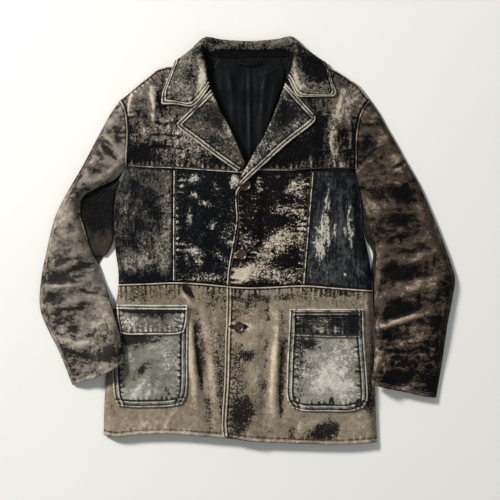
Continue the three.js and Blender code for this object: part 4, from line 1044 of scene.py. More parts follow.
rightPocketSides = [
    line([[-270, -134], [-192, -133], [-118, -133]]),
    line([[-258, -330], [-230, -333], [-200, -333], [-154, -331], [-130, -326]]),
    line([[-270, -134], [-270, -220], [-265, -310], [-258, -330]]),
    line([[-118, -133], [-119, -220], [-122, -310], [-130, -326]]),
]
leftPocketSides = [
    line([[85, -137], [158, -137], [231, -137]]),
    line([[90, -334], [110, -340], [158, -341], [205, -341], [230, -334]]),
    line([[85, -137], [82, -198], [79, -266], [80, -318], [90, -334]]),
    line([[231, -137], [233, -198], [239, -280], [239, -320], [230, -334]]),
]
rightFlapSides = [
    line([[-260, -128], [-190, -129], [-119, -129]]),
    line([[-252, -185], [-240, -188], [-186, -188], [-140, -187], [-126, -183]]),
    line([[-260, -128], [-258, -160], [-252, -185]]),
    line([[-119, -129], [-121, -165], [-126, -183]]),
]
leftFlapSides = [
    line([[92, -140], [158, -140], [225, -140]]),
    line([[92, -190], [158, -193], [224, -194]]),
    line([[92, -140], [92, -190]]),
    line([[225, -140], [224, -194]]),
]
rightPocketLook = {
    "name": "right_pocket_patch", "node": "right_pocket", "slot": "pocket_leather", "flat": (152, 200),
    "area": 29600, "on": ["right_skirt_panel"],
    "ground": (0.155, 0.152, 0.12), "ground2": (0.20, 0.195, 0.155), "pale": (0.46, 0.45, 0.375),
    "dark": (0.016, 0.015, 0.013), "tone": 0.14, "flake": 0.45, "cloud": 1.0, "blotch": 0.9, "fleck": 2.8,
    "stroke": 1.2, "strokeSize": (22, 4, 4), "crack": 0.1, "fleckSize": 3.6,
    "zones": [
        # the zone at (-196, -198) is painted shadow below the flap
        [-196, -198, 60, 9, 0, -0.55, 0.2], [-236, -200, 22, 26, 0, -0.45, 0.2],
        [-214, -262, 34, 14, 35, -0.3, -0.1], [-160, -240, 26, 26, 0, 0.1, 0.6],
        [-248, -270, 6, 50, 0, -0.2, 0.9], [-136, -280, 8, 44, 0, 0.0, 0.9],
        [-224, -306, 28, 14, 0, 0.2, -0.2], [-188, -300, 10, 22, -20, 0.3, -0.2],
        [-160, -296, 14, 22, 0, -0.15, 0.3], [-150, -204, 30, 8, -20, 0.25, 0.3],
    ],
    "creases": [
        [-160, -190, -190, -206, -226, -212, -0.7, 2.5], [-150, -198, -180, -212, -214, -222, 0.7, 2.5],
        [-150, -206, -180, -222, -210, -234, -0.6, 2.5], [-188, -262, -206, -284, -222, -304, 1.3, 5],
        [-178, -268, -186, -292, -190, -316, -1.2, 4], [-168, -280, -158, -300, -150, -316, -1.0, 3],
        [-180, -300, -168, -304, -156, -300, 0.8, 3], [-200, -230, -206, -250, -220, -270, -0.8, 7],
        [-240, -200, -236, -240, -242, -280, 0.6, 6],
    ],
}
rightFlapLook = {
    "name": "right_flap_patch", "node": "right_pocket_flap", "slot": "pocket_leather", "flat": (141, 60),
    "area": 7900, "on": ["right_pocket_patch"],
    "ground": (0.125, 0.115, 0.095), "pale": (0.47, 0.45, 0.385), "dark": (0.010, 0.009, 0.008),
    "tone": 0.2, "flake": 0.6, "cloud": 0.6, "blotch": 1.1, "fleck": 2.6, "stroke": 1.2,
    "strokeSize": (20, 4, 4), "crack": 0.5, "crackSize": 7,
    "zones": [
        [-190, -142, 64, 3.5, 0, -1.5, 0.2], [-236, -166, 16, 14, 0, 0.5, 0.9],
        [-136, -160, 12, 14, 0, 0.1, 0.8], [-168, -150, 8, 8, 0, -0.5, 0.2],
        [-196, -150, 30, 5, 0, -0.3, 0.3], [-150, -176, 20, 4, 0, -0.2, 0.4],
    ],
    "creases": [
        [-246, -150, -236, -164, -224, -180, -0.9, 1.6], [-238, -146, -226, -162, -212, -178, -0.9, 1.6],
        [-248, -166, -240, -174, -232, -182, -0.8, 1.5], [-222, -158, -232, -168, -244, -178, -0.7, 1.4],
        [-172, -146, -168, -162, -156, -178, -0.9, 2], [-230, -148, -196, -150, -162, -148, -0.8, 2],
        [-150, -150, -146, -164, -136, -176, -0.8, 1.8], [-216, -156, -190, -160, -170, -156, 0.6, 2.5],
    ],
}
leftPocketLook = {
    "name": "left_pocket_patch", "node": "left_pocket", "slot": "pocket_leather", "flat": (160, 204),
    "area": 31500, "on": ["left_skirt_panel"],
    "ground": (0.19, 0.18, 0.145), "ground2": (0.25, 0.24, 0.20), "pale": (0.52, 0.50, 0.425),
    "dark": (0.014, 0.013, 0.012), "tone": 0.12, "flake": 0.6, "cloud": 0.7, "blotch": 1.0, "fleck": 3.2,
    "stroke": 0.8, "strokeSize": (12, 12, 4), "crack": 0.2, "fleckSize": 3.6,
    "zones": [
        [102, -236, 12, 56, 0, -0.35, 0.8], [120, -206, 24, 12, 0, -0.75, 0.4],
        [120, -250, 22, 24, 0, -0.1, 0.5], [180, -250, 40, 36, 20, 0.3, 0.1],
        [200, -296, 26, 24, 0, 0.4, -0.2], [150, -280, 30, 28, 0, 0.25, -0.3],
        [224, -260, 6, 60, 0, -0.25, 0.6], [168, -320, 5, 8, 0, -0.8, 0],
        [118, -312, 26, 16, 0, -0.1, -0.2], [196, -214, 24, 10, -15, 0.15, 0.3],
        [222, -324, 8, 6, 30, -0.7, 0.3],
    ],
    "creases": [
        [176, -210, 196, -220, 220, -212, -0.9, 2.4], [168, -218, 192, -232, 220, -222, 0.8, 2.6],
        [98, -208, 112, -214, 126, -212, -0.7, 1.8], [98, -222, 112, -228, 128, -226, -0.7, 1.8],
        [98, -236, 110, -242, 122, -240, -0.6, 1.8], [172, -306, 168, -318, 160, -328, -1.0, 2.4],
        [218, -240, 216, -276, 220, -310, -0.7, 3], [150, -240, 156, -270, 150, -300, 0.6, 8],
        [196, -300, 208, -316, 222, -326, -0.7, 2],
    ],
}
leftFlapLook = {
    "name": "left_flap_patch", "node": "left_pocket_flap", "slot": "dark_leather", "flat": (133, 54),
    "area": 6950, "on": ["left_pocket_patch"],
    "ground": (0.045, 0.041, 0.034), "pale": (0.30, 0.27, 0.225), "dark": (0.005, 0.006, 0.007),
    "tone": -0.3, "flake": 0.8, "cloud": 0.3, "blotch": 1.1, "fleck": 2.8, "stroke": 2.1,
    "strokeSize": (24, 3.0, 4), "crack": 0.3,
    "zones": [
        [104, -158, 12, 18, 0, 0.35, 0.4], [150, -176, 14, 8, 0, 0.6, 0.3],
        [176, -178, 8, 6, 0, 0.7, 0.2], [214, -165, 14, 24, 0, -0.5, 0], [150, -158, 10, 14, 0, 0.4, 0.1],
        [130, -170, 20, 10, 0, 0.2, 0.4],
    ],
    "creases": [
        [98, -150, 140, -152, 200, -150, -0.6, 1.8], [98, -160, 136, -162, 180, -160, 0.6, 2],
        [100, -170, 130, -174, 160, -172, -0.6, 1.8], [110, -180, 150, -182, 200, -182, 0.6, 2],
    ],
}
for side, sides, look, seed in (
    (-1, rightPocketSides, rightPocketLook, 40),
    (1, leftPocketSides, leftPocketLook, 50),
):
    top, bottom, left, right = sides
    buildPanel(look, plan(*sides), pocketHeight(sides, side), [
        ("bead", left, 3, seed), ("bead", right, 3, seed + 1), ("bead", bottom, 3, seed + 2),
        ("ridge", top, 0, seed + 3),
    ])
for side, sides, pocketSides, look, seed in (
    (-1, rightFlapSides, rightPocketSides, rightFlapLook, 44),
    (1, leftFlapSides, leftPocketSides, leftFlapLook, 54),
):
    top, bottom, left, right = sides
    buildPanel(look, plan(*sides), flapHeight(sides, side, pocketHeight(pocketSides, side)), [
        ("double", top, 5, seed), ("ridge", left, 0, seed + 1), ("ridge", right, 0, seed + 2),
        ("ridge", bottom, 5, seed + 4),
    ])

# sleeves
print("sleeves")
rightSleeveLook = {
    "name": "right_sleeve_top", "node": "right_top_sleeve", "slot": "worn_leather", "flat": (160, 620),
    "area": 57200, "on": ["right_sleeve_under"],
    "ground": (0.155, 0.132, 0.106), "ground2": (0.19, 0.165, 0.135), "pale": (0.36, 0.315, 0.255),
    "dark": (0.017, 0.0155, 0.014), "tone": 0.10, "flake": 0.55, "cloud": 1.5, "cloudSize": 30,
    "blotch": 1.5, "fleck": 1.8, "stroke": 2.4, "strokeSize": (36, 9, 4), "crack": 0.05,
    "bareRange": (-0.72, 0.06), "paleRange": (0.05, 0.95), "grow": 1.35, "power": 0.9,
    "folds": rightSleeveFolds, "creaseRubAndShade": 0.5, "seamTone": 0.6,
    "zones": [
        [-310, -210, 90, 60, -10, 0, 0.6], [-290, 206, 26, 56, -28, -0.5, 0.1],
        [-330, 140, 24, 34, -28, -0.3, 0.2], [-258, 212, 9, 30, -16, -0.5, 0.2],
        # the zone at (-251, 166) is a painted highlight on a ridge
        [-251, 166, 5, 12, 0, 0.5, 0], [-338, 103, 12, 15, 0, -0.35, 0.1],
        [-345, 2, 17, 8, 15, -0.55, 0.1], [-376, 20, 11, 6, 20, -0.35, 0.1],
        [-368, -40, 28, 9, 12, -0.95, 0], [-324, -52, 20, 6, 0, -0.6, 0],
        [-374, -75, 28, 12, -4, -1.05, 0.1], [-313, -109, 28, 5, -6, -0.35, 0.2],
        [-392, -113, 11, 16, 0, -0.75, 0.2], [-338, -136, 28, 7, 6, -0.55, 0.3],
        [-370, -168, 26, 22, -20, -0.7, 0.4], [-360, -220, 24, 9, -20, -0.8, 0.2],
        [-284, -186, 15, 10, 20, -0.5, 0.4], [-274, -226, 32, 11, 14, -1.25, 0.2],
        [-347, -258, 8, 15, 0, -0.6, 0.3], [-334, -206, 44, 7, -6, 0.35, 0],
        [-292, -130, 16, 14, 0, 0.35, 0], [-300, 20, 16, 20, 0, 0.2, 0],
        [-312, 136, 24, 16, 30, 0.25, 0.1], [-330, -20, 20, 8, 10, 0.3, 0],
        [-362, -58, 14, 4, 10, 0.4, 0.1], [-404, -60, 6, 40, 0, -0.4, 0.1],
        [-286, 190, 12, 24, 30, 0.1, 0.2], [-300, -262, 30, 12, 14, -0.15, 0.5],
        [-372, -96, 36, 4, 2, 0.5, 0.1],
    ],
    "creases": [
        [-292, 199, -270, 170, -249, 147, -1.2, 2.6], [-300, 190, -278, 162, -254, 140, 1.0, 3],
        [-282, 214, -262, 186, -246, 164, 1.0, 3], [-310, 110, -284, 132, -256, 146, 0.9, 4],
        [-413, -91, -372, -92, -334, -89, -302, -73, 1.8, 3.2],
        [-408, -82, -374, -83, -338, -80, -1.8, 3], [-396, -44, -366, -36, -330, -22, 1.2, 4],
        [-340, -44, -316, -48, -300, -46, -1.2, 3], [-336, -58, -316, -60, -298, -56, 1.2, 3],
        [-340, -100, -318, -112, -290, -114, 1.1, 3], [-344, -92, -320, -103, -292, -106, -1.0, 3],
        [-360, -134, -330, -126, -300, -130, -0.9, 3], [-340, -198, -310, -176, -286, -158, 0.8, 2.2],
        [-380, -196, -340, -206, -300, -204, 0.9, 4], [-390, 30, -366, 40, -346, 54, 0.7, 3],
        [-384, 6, -356, 16, -336, 22, -0.7, 3], [-404, -20, -400, -70, -408, -120, 0.6, 2.5],
        [-402, -150, -384, -200, -362, -250, 0.7, 2.5],
    ],
}
rightSleeveGrid = pull(plan(rightArmhole, rightCuff, rightSleeveOuter, rightSleeveInner))
buildPanel(rightSleeveLook, rightSleeveGrid, sleeve(rightSleeveEdges, rightSleeveFolds, rightArmhole, -1), [
    ("ridge", rightArmhole, 0, 61), ("hem", rightCuff, hemStitch, 62),
    ("hem", part(rightSleeveOuter, 0.2, 1), 0, 63),
])

leftSleeveLook = {
    "name": "left_sleeve_top", "node": "left_top_sleeve", "slot": "worn_leather", "flat": (166, 650),
    "area": 82000, "on": ["left_sleeve_under"],
    "ground": (0.054, 0.040, 0.029), "ground2": (0.076, 0.056, 0.041), "pale": (0.31, 0.245, 0.19),
    "dark": (0.0025, 0.002, 0.002), "tone": -0.12, "flake": 0.65, "cloud": 1.7, "cloudSize": 32,
    "blotch": 1.8, "fleck": 2.0, "stroke": 2.6, "strokeSize": (36, 9, 4), "crack": 0.05,
    "bareRange": (-0.72, 0.04), "paleRange": (0.05, 0.9), "grow": 1.35, "power": 0.9,
    "folds": leftSleeveFolds, "creaseRubAndShade": 0.5, "seamTone": 0.6,
    "zones": [
        [320, -250, 70, 60, 0, 0, 0.7], [267, 203, 12, 16, 0, 0.5, 0], [294, 160, 22, 10, 38, 0.35, 0.1],
        [316, 131, 28, 8, 28, 0.35, 0.1], [235, 192, 9, 13, 0, -0.5, 0], [251, 114, 25, 13, 0, -0.6, 0.1],
        [307, 88, 22, 13, 0, -0.6, 0.1], [243, 66, 10, 22, 0, 0.5, 0.1], [307, 36, 24, 17, 0, -0.7, 0.1],
        [283, 10, 28, 9, 0, -0.65, 0.1], [344, 51, 10, 15, 0, 0.5, 0.1], [335, -3, 26, 10, 16, 0.5, 0.1],
        [324, -23, 18, 4, 8, -0.45, 0.1], [286, -51, 22, 12, 14, -0.95, 0], [336, -41, 24, 7, 12, 0.4, 0],
        [311, -74, 24, 9, 14, -0.85, 0], [346, -89, 26, 9, 14, 0.6, 0], [311, -114, 22, 6, 0, 0.2, 0.2],
        [301, -138, 32, 11, 12, -0.8, 0.2], [382, -150, 11, 22, 0, -0.6, 0.3],
        [282, -187, 22, 10, 0, -0.55, 0.4], [372, -217, 17, 28, -14, -0.75, 0.3],
        [300, -236, 18, 16, 0, -0.35, 0.5], [302, -276, 26, 12, 0, -1.05, 0.4],
        [340, -259, 22, 10, 0, -0.7, 0.5], [370, -288, 12, 22, 0, -0.95, 0.3],
        [257, -240, 5, 48, 0, 0.5, 0], [259, -42, 5, 22, 0, 0.5, 0], [400, -100, 8, 40, 0, -0.5, 0.2],
        [330, -205, 26, 26, 0, 0.1, 0.5], [318, -158, 60, 4, 14, 0.5, 0],
    ],
    "creases": [
        [330, 170, 306, 152, 284, 140, -1.4, 2.6], [326, 158, 304, 142, 284, 132, 1.2, 3],
        [346, 128, 318, 112, 300, 104, -1.0, 2.6], [222, 150, 246, 172, 266, 190, -1.2, 2.6],
        [224, 140, 250, 160, 276, 180, 1.0, 3], [222, 120, 250, 124, 290, 128, 0.8, 3],
        [256, -175, 307, -160, 357, -145, 380, -133, 1.8, 4],
        [262, -160, 308, -148, 350, -136, -1.6, 3.4], [258, -46, 300, -32, 340, -16, 1.0, 4],
        [264, -66, 300, -56, 330, -46, -1.0, 4], [290, -90, 330, -82, 370, -76, 1.2, 4],
        [296, -60, 320, -46, 344, -36, 0.9, 3], [374, -22, 371, -54, 366, -82, -0.9, 1.6],
        [372, -20, 392, -26, 410, -38, 0.7, 2], [262, -200, 300, -206, 340, -196, 0.8, 3.4],
        [266, -280, 274, -258, 284, -240, 0.9, 2.4], [262, 30, 300, 24, 340, 32, 0.8, 5],
        [396, -110, 386, -180, 378, -250, 0.9, 2.2],
    ],
}
leftEnds = part(leftArmhole, 1, 0), part(leftCuff, 1, 0)
leftSleeveGrid = pull(plan(*leftEnds, leftSleeveInner, leftSleeveOuter))
buildPanel(leftSleeveLook, leftSleeveGrid, sleeve(leftSleeveEdges, leftSleeveFolds, leftArmhole, 1), [
    ("ridge", leftArmhole, 0, 64), ("hem", leftCuff, hemStitch, 65),
    ("hem", part(leftSleeveOuter, 0.45, 1), 0, 66),
])

underLook = {
    "ground": (0.035, 0.029, 0.023), "pale": (0.13, 0.11, 0.088), "dark": (0.004, 0.004, 0.004),
    "tone": -0.3, "flake": 0.4, "cloud": 0.8, "blotch": 1.0, "stroke": 0.8, "bareRange": (-0.6, 0.0),
    # the zone at (-290, 70) is painted shade on the right under sleeve, in the hollow below the top sleeve's
    # fold
    "zones": [[-292, -6, 16, 22, 0, 0.2, 0.2], [-290, 70, 40, 50, 0, -1.2, 0]],
}


def underTop(x, y):
    return leather + overSide(x, y)


sparse = {"us": np.linspace(0, 1, 46), "vs": np.linspace(0, 1, 120)}
leftUnderLook = {
    **underLook, "name": "left_sleeve_under", "node": "left_under_sleeve", "slot": "dark_leather",
    "flat": (166, 650), "area": 80000, "on": [],
}
rightUnderLook = {
    **underLook, "name": "right_sleeve_under", "node": "right_under_sleeve", "slot": "dark_leather",
    "flat": (190, 620), "area": 70000, "on": [],
}
buildPanel(leftUnderLook, pull(plan(*leftEnds, leftUnderWithGapShade, leftSleeveOuter, **sparse)), underTop)
rightUnderGrid = plan(rightArmhole, rightCuff, rightSleeveOuter, rightSleeveFloor, **sparse)
rightUnder = buildPanel(rightUnderLook, pull(rightUnderGrid), underTop)

# the right under sleeve also folds up beside the body, below the top piece's edge
foldFrom, foldTo = 0.095, 0.515
foldLead, foldTurn = 0.12, 0.45
foldV = np.linspace(0, 1, 110)
foldU = np.concatenate([np.linspace(0, foldLead, 4)[:-1], np.linspace(foldLead, foldTurn, 14)[:-1],
                        np.linspace(foldTurn, 1, 22)])
innerLine = rightSleeveInner(lerp(foldFrom, foldTo, foldV))
underLine = rightSleeveUnder(np.array([where(rightSleeveUnder, 1, y) for y in innerLine[:, 1]]))
foldDeep = np.minimum(ease(0, 0.2, foldV), ease(1, 0.85, foldV))
foldHigh = lerp(5, 8.4, foldDeep)[:, None]
foldRadius = foldHigh / 2
foldX = underLine[:, :1] - foldRadius - 0.3
foldFloor = (leather - foldWall) / 2
u = foldU[None]
turning = math.pi * ((u - foldLead) / (foldTurn - foldLead) - 0.5)
flat = (u - foldTurn) / (1 - foldTurn)
flatEnd = np.minimum(innerLine[:, :1] + lerp(3, -6, foldDeep)[:, None], foldX - 2)
wrinkle = 0.5 * np.sin(foldV * 34)[:, None] * np.clip(flat, 0, 1)
sheetX = np.where(u <= foldLead, foldX - 3 * (1 - u / foldLead), foldX + foldRadius * np.cos(turning))
sheetX = np.where(u > foldTurn, lerp(foldX, flatEnd, flat), sheetX)
sheetZ = np.where(u <= foldLead, foldFloor, foldFloor + foldRadius + foldRadius * np.sin(turning))
sheetZ = np.where(u > foldTurn, foldFloor + foldHigh - 1.2 * np.sin(math.pi * flat) + wrinkle, sheetZ)
foldGrid = np.stack([sheetX, underLine[:, 1:] + 0 * sheetX, sheetZ], -1)
# the fold takes the under sleeves' paint, with the painted shade round (-290, 70)
foldTone, foldFlake = paint({**underLook, "tone": -0.1}, foldGrid[..., 0], foldGrid[..., 1])
foldValues = {"tone": foldTone, "flake": foldFlake, "cloth": foldGrid}
foldPiece = makeShell("fold", foldGrid, foldWall, -1, foldValues, rightUnder.data.materials[0])
with bpy.context.temp_override(active_object=rightUnder, selected_editable_objects=[rightUnder, foldPiece]):
    bpy.ops.object.join()

# lapels
print("lapels")
# how far the lapel rises over the top button, and how far the stitches are from a free edge
overButton = 5
rowOffset = 5


def lapelSurface(rollLine, edge, side):
    # the first share of each row turns round the roll, the rest lies on the front
    turn = 0.34
    vs = spacing(max(lengthOf(rollLine), lengthOf(edge)))
    lyingSteps = turn + (1 - turn) * spacing(lengthOf(part(edge, 0, 0.55)))
    us = np.concatenate([np.linspace(0, turn, 15)[:-1], lyingSteps])
    r, across = rollLine(vs), edge(vs) - rollLine(vs)
    width = np.linalg.norm(across, axis=1, keepdims=True)
    across = across / width
    radius = lerp(3.2, 2.2, vs)[:, None] + lapelWall / 2
    height = front(side)
    ground = height(r[:, 0] + across[:, 0] * 8, r[:, 1] + across[:, 1] * 8)[:, None]
    bottom = ground - leather / 2 - lapelWall / 2
    u = us[None]
    angle = -math.pi / 2 - math.pi * u / turn
    flat = (u - turn) / (1 - turn)
    s = np.where(u <= turn, radius + radius * np.cos(angle), lerp(radius, width, flat))
    x = r[:, :1] + across[:, :1] * s
    y = r[:, 1:] + across[:, 1:] * s
    rest = height(x, y) + stackGap + lapelWall + 0.6
    fromButton = (x - topButton[0]) ** 2 + (y - topButton[1]) ** 2
    bump = overButton * np.exp(-fromButton / 300) if side > 0 else 0
    lying = np.maximum(lerp(bottom + 2 * radius, rest, ease(radius, radius + 26, s)), rest) + bump
    z = np.where(u <= turn, bottom + radius + radius * np.sin(angle), lying)
    return np.stack([x, y, z], -1)


def buildSheet(look, grid, side, free, seed):
    # a rolled sheet with raised, stitched free edges; free names them: end, first, last
    lengthU = np.cumsum(np.linalg.norm(np.diff(grid, axis=1, prepend=grid[:, :1]), axis=2), axis=1)
    lengthV = np.cumsum(np.linalg.norm(np.diff(grid, axis=0, prepend=grid[:1]), axis=2), axis=0)
    away = {"end": lengthU[:, -1:] - lengthU, "first": lengthV, "last": lengthV[-1:] - lengthV}
    d = np.min([away[key] for key in free], axis=0)
    rise, change = seamEffect("double", d, lengthV + lengthU * 0.7, seed)
    tone, flake = paint(look, grid[..., 0], grid[..., 1])
    fine = creaseEffect(look, grid[..., 0], grid[..., 1])
    # the free edges' tone, with painted shade in their grooves, and creases pale on top and painted dark as
    # shade where sunken
    tone = tone + change + fine * plainCreaseRubAndShade
    share = lengthU / lengthU[:, -1:]
    # bands of each row's share painted darker as shade, such as the collar stand's inner face
    for start, stop, amount in look.get("paintedShadeBands", []):
        tone = tone + amount * ease(start - 0.05, start, share) * ease(stop + 0.05, stop, share)
    outer = grid - normals(grid) * side * (rise + fine)[..., None]
    outer[..., 2] = np.maximum(outer[..., 2], 0)
    values = {"tone": tone, "flake": flake, "cloth": outer}
    piece = makeShell(look["name"], outer, lapelWall, side, values, leatherMaterial(look))
    for key in free:
        acrossRows = key == "end"
        closest = np.argmin(np.abs(away[key] - rowOffset), axis=1 if acrossRows else 0)
        spots = [(k, at) if acrossRows else (at, k) for k, at in enumerate(closest)]
        row = [outer[spot] for spot in spots if d[spot] > rowOffset - 0.8]
        if len(row) > 4:
            stitchLines.setdefault(look["name"], []).append(np.array(row))
    settle(piece, look)


rightLapelLook = {
    "name": "right_lapel_leaf", "node": "right_lapel", "slot": "worn_leather", "flat": (112, 166),
    "area": 11500, "on": ["right_yoke"],
    "ground": (0.055, 0.050, 0.040), "ground2": (0.075, 0.068, 0.053), "pale": (0.40, 0.37, 0.295),
    "dark": (0.007, 0.007, 0.007), "tone": -0.04, "flake": 0.85, "cloud": 0.7, "blotch": 1.3,
    "fleck": 3.4,
    "zones": [
        [-66, 248, 30, 22, -20, -0.45, 0.1], [-46, 200, 16, 26, 30, 0.15, 0.2],
        [-100, 220, 18, 20, 0, 0.15, 0.2], [-40, 226, 7, 40, 28, 0.5, 0.1], [-74, 286, 12, 10, 0, 0.6, 0],
        [-60, 196, 30, 10, -34, -0.2, 0.2],
    ],
    "creases": [
        [-76, 290, -66, 280, -60, 268, 0.9, 2], [-86, 284, -74, 276, -66, 266, -0.8, 2],
        [-100, 240, -70, 220, -40, 180, 0.5, 6], [-56, 270, -50, 240, -60, 210, -0.5, 5],
    ],
}
buildSheet(rightLapelLook, lapelSurface(rightRoll, rightLapelEdge, -1), -1, ("end", "first"), 71)

leftLapelLook = {
    "name": "left_lapel_leaf", "node": "left_lapel", "slot": "worn_leather", "flat": (112, 200),
    "area": 11900, "on": ["left_yoke"],
    "ground": (0.040, 0.039, 0.034), "ground2": (0.062, 0.058, 0.048), "pale": (0.42, 0.39, 0.32),
    "dark": (0.005, 0.005, 0.006), "tone": -0.02, "flake": 0.95, "cloud": 0.6, "blotch": 1.4,
    "fleck": 3.8,
    "zones": [
        [76, 252, 34, 28, 30, -0.5, 0.1], [36, 186, 20, 18, 30, 0.1, 0.3],
        [44, 234, 8, 40, -26, 0.3, 0.2], [80, 304, 16, 12, 0, 0.9, 0], [100, 226, 16, 8, 40, 0.2, 0.2],
        [16, 160, 14, 12, 0, 0.35, 0.1], [84, 280, 12, 10, 0, 0.2, 0.4], [-2, 134, 12, 18, 0, 0.4, -0.2],
    ],
    "creases": [
        [60, 300, 66, 290, 74, 280, 1.1, 2], [70, 306, 76, 292, 86, 284, -1.0, 2],
        [84, 306, 88, 296, 98, 288, 1.0, 2.2], [110, 250, 80, 214, 40, 180, 0.5, 6],
        [78, 270, 74, 240, 86, 220, -0.5, 5],
    ],
}
buildSheet(leftLapelLook, lapelSurface(leftRoll, leftLapelEdge, 1), 1, ("end", "first"), 72)

# collar: stations along its seam, each from the seam over the fold to the edge of the fall
print("collar")
collarStations = np.array([
    [[-76, 303, 13], [-71, 304, 18], [-75, 305, 25], [-82, 294, 26], [-97, 275.4, 24], [-110, 266, 22.5],
     [-142, 270, 22], [-171, 270, 21]],
    [[-82, 322, 9.5], [-78.5, 323, 15], [-81, 326, 26], [-92, 323, 27], [-116, 315, 25], [-138, 305, 24],
     [-157, 296, 22.5], [-170, 289, 21.5]],
    [[-84, 341, 7.5], [-80, 341, 13], [-83.5, 342, 25], [-96, 342, 26], [-118, 336, 24], [-138, 326, 22],
     [-152, 319, 20], [-161, 313, 19]],
    [[-82, 354, 8.5], [-80.5, 357, 13], [-87, 361, 25], [-100, 362, 25], [-118, 356, 22], [-134, 350, 18.5],
     [-144, 346, 15.5], [-150, 341, 14]],
    [[-77, 364.5, 8], [-80, 370, 12], [-90, 376, 23], [-101, 376, 23], [-118, 371, 18], [-132, 365, 12],
     [-140, 361, 8], [-145, 358, 6]],
    [[-72, 365.5, 7], [-77, 372, 11], [-89, 382, 22], [-99, 384, 20], [-114, 379, 13], [-126, 371, 6],
     [-133, 363, 1.4], [-139, 356.5, 0.5]],
    [[-64, 365, 6], [-73, 373, 9], [-88, 388, 21], [-98, 390, 17], [-110, 384, 9], [-117, 375, 2.4],
     [-121, 362, 0], [-126, 344, 0]],
    [[-50, 364.5, 5], [-56, 375, 8], [-74, 398, 18], [-82, 405, 13], [-87, 404, 6], [-91, 395, 0.8],
     [-96, 365, 0], [-102, 328, 0]],
    [[-30, 364.3, 4.9], [-33, 376, 7.8], [-44, 391, 15], [-49, 399.5, 12], [-51, 401, 6], [-52, 394, 0.4],
     [-54, 360, 0], [-56, 318, 0]],
    [[4, 364.3, 4.9], [4, 376, 7.5], [4, 388, 14], [4, 396, 12], [4, 398, 6], [4, 391, 0.4], [4, 358, 0],
     [4, 316, 0]],
    [[38, 364.5, 4.9], [41, 377, 8], [52, 391, 15], [57, 400, 12], [60, 402, 6], [61, 394, 0.4], [62, 360, 0],
     [64, 318, 0]],
    [[60, 365.5, 5], [65, 376, 8], [78, 396, 18], [86, 405, 14], [92, 406, 6], [97, 396, 0.8], [102, 366, 0],
     [108, 328, 0]],
    [[73, 367.5, 6], [80, 375, 9.5], [93, 388, 21], [103, 391, 17], [116, 382, 9], [124, 373, 2.4],
     [128, 360, 0], [134, 342, 0]],
    [[80, 368, 6.8], [84.5, 374, 11], [95, 382, 22], [106, 384, 20], [122, 379, 13], [134, 370, 6],
     [142, 362, 1.4], [149, 354.5, 0.5]],
    [[85, 367, 8], [89, 371, 12], [97, 374, 24], [108, 374, 24], [126, 369, 18], [141, 364, 12],
     [150, 359, 8], [156, 356, 6]],
    [[88, 356, 8.5], [88.5, 358, 13], [94, 359, 25], [108, 359, 25.5], [128, 353, 22], [146, 347, 18],
     [157, 344, 15.5], [163, 339, 14]],
    [[89, 337, 8], [86, 337, 13], [90, 341, 25], [103, 341, 26], [126, 336, 24], [148, 327, 22],
     [162, 320, 20], [170, 313, 19]],
    [[84, 323, 10], [81, 325, 15], [84, 329, 26], [95, 326, 27], [120, 317, 25], [145, 305, 24],
     [165, 298, 22.5], [177, 293, 21.5]],
    [[80, 317, 13.5], [77, 318, 19], [81, 320, 25], [87, 309.5, 26.5], [100, 286.4, 24.5], [116, 285, 23.5],
     [145, 286, 22], [172, 286, 21]],
], float)


def shoulderY(x):
    t = np.linspace(0, 1, 301)
    right, left = rightShoulder(t), leftShoulder(t)[::-1]
    return np.where(x < 0, np.interp(x, right[:, 0], right[:, 1]), np.interp(x, left[:, 0], left[:, 1]))


def collarSurface(us, vs):
    guides = catmull(collarStations.transpose(1, 0, 2), vs)
    points = catmull(guides.transpose(1, 0, 2), us)
    x, y, z = points[..., 0], points[..., 1], points[..., 2]
    u, v = us[None], vs[:, None]
    onFront = ease(0.235, 0.2, np.minimum(v, 1 - v)) * ease(0.3, 0.45, u)
    yokes = np.where(x < 0, yoke(-1)(x, y), yoke(1)(x, y))
    ground = np.where(shoulderY(x) - y > -1, yokes + stackGap + lapelWall + 1.2, 0)
    z = lerp(z, np.maximum(z, ground), onFront)
    return np.stack([x, y, np.maximum(z, 0)], -1)


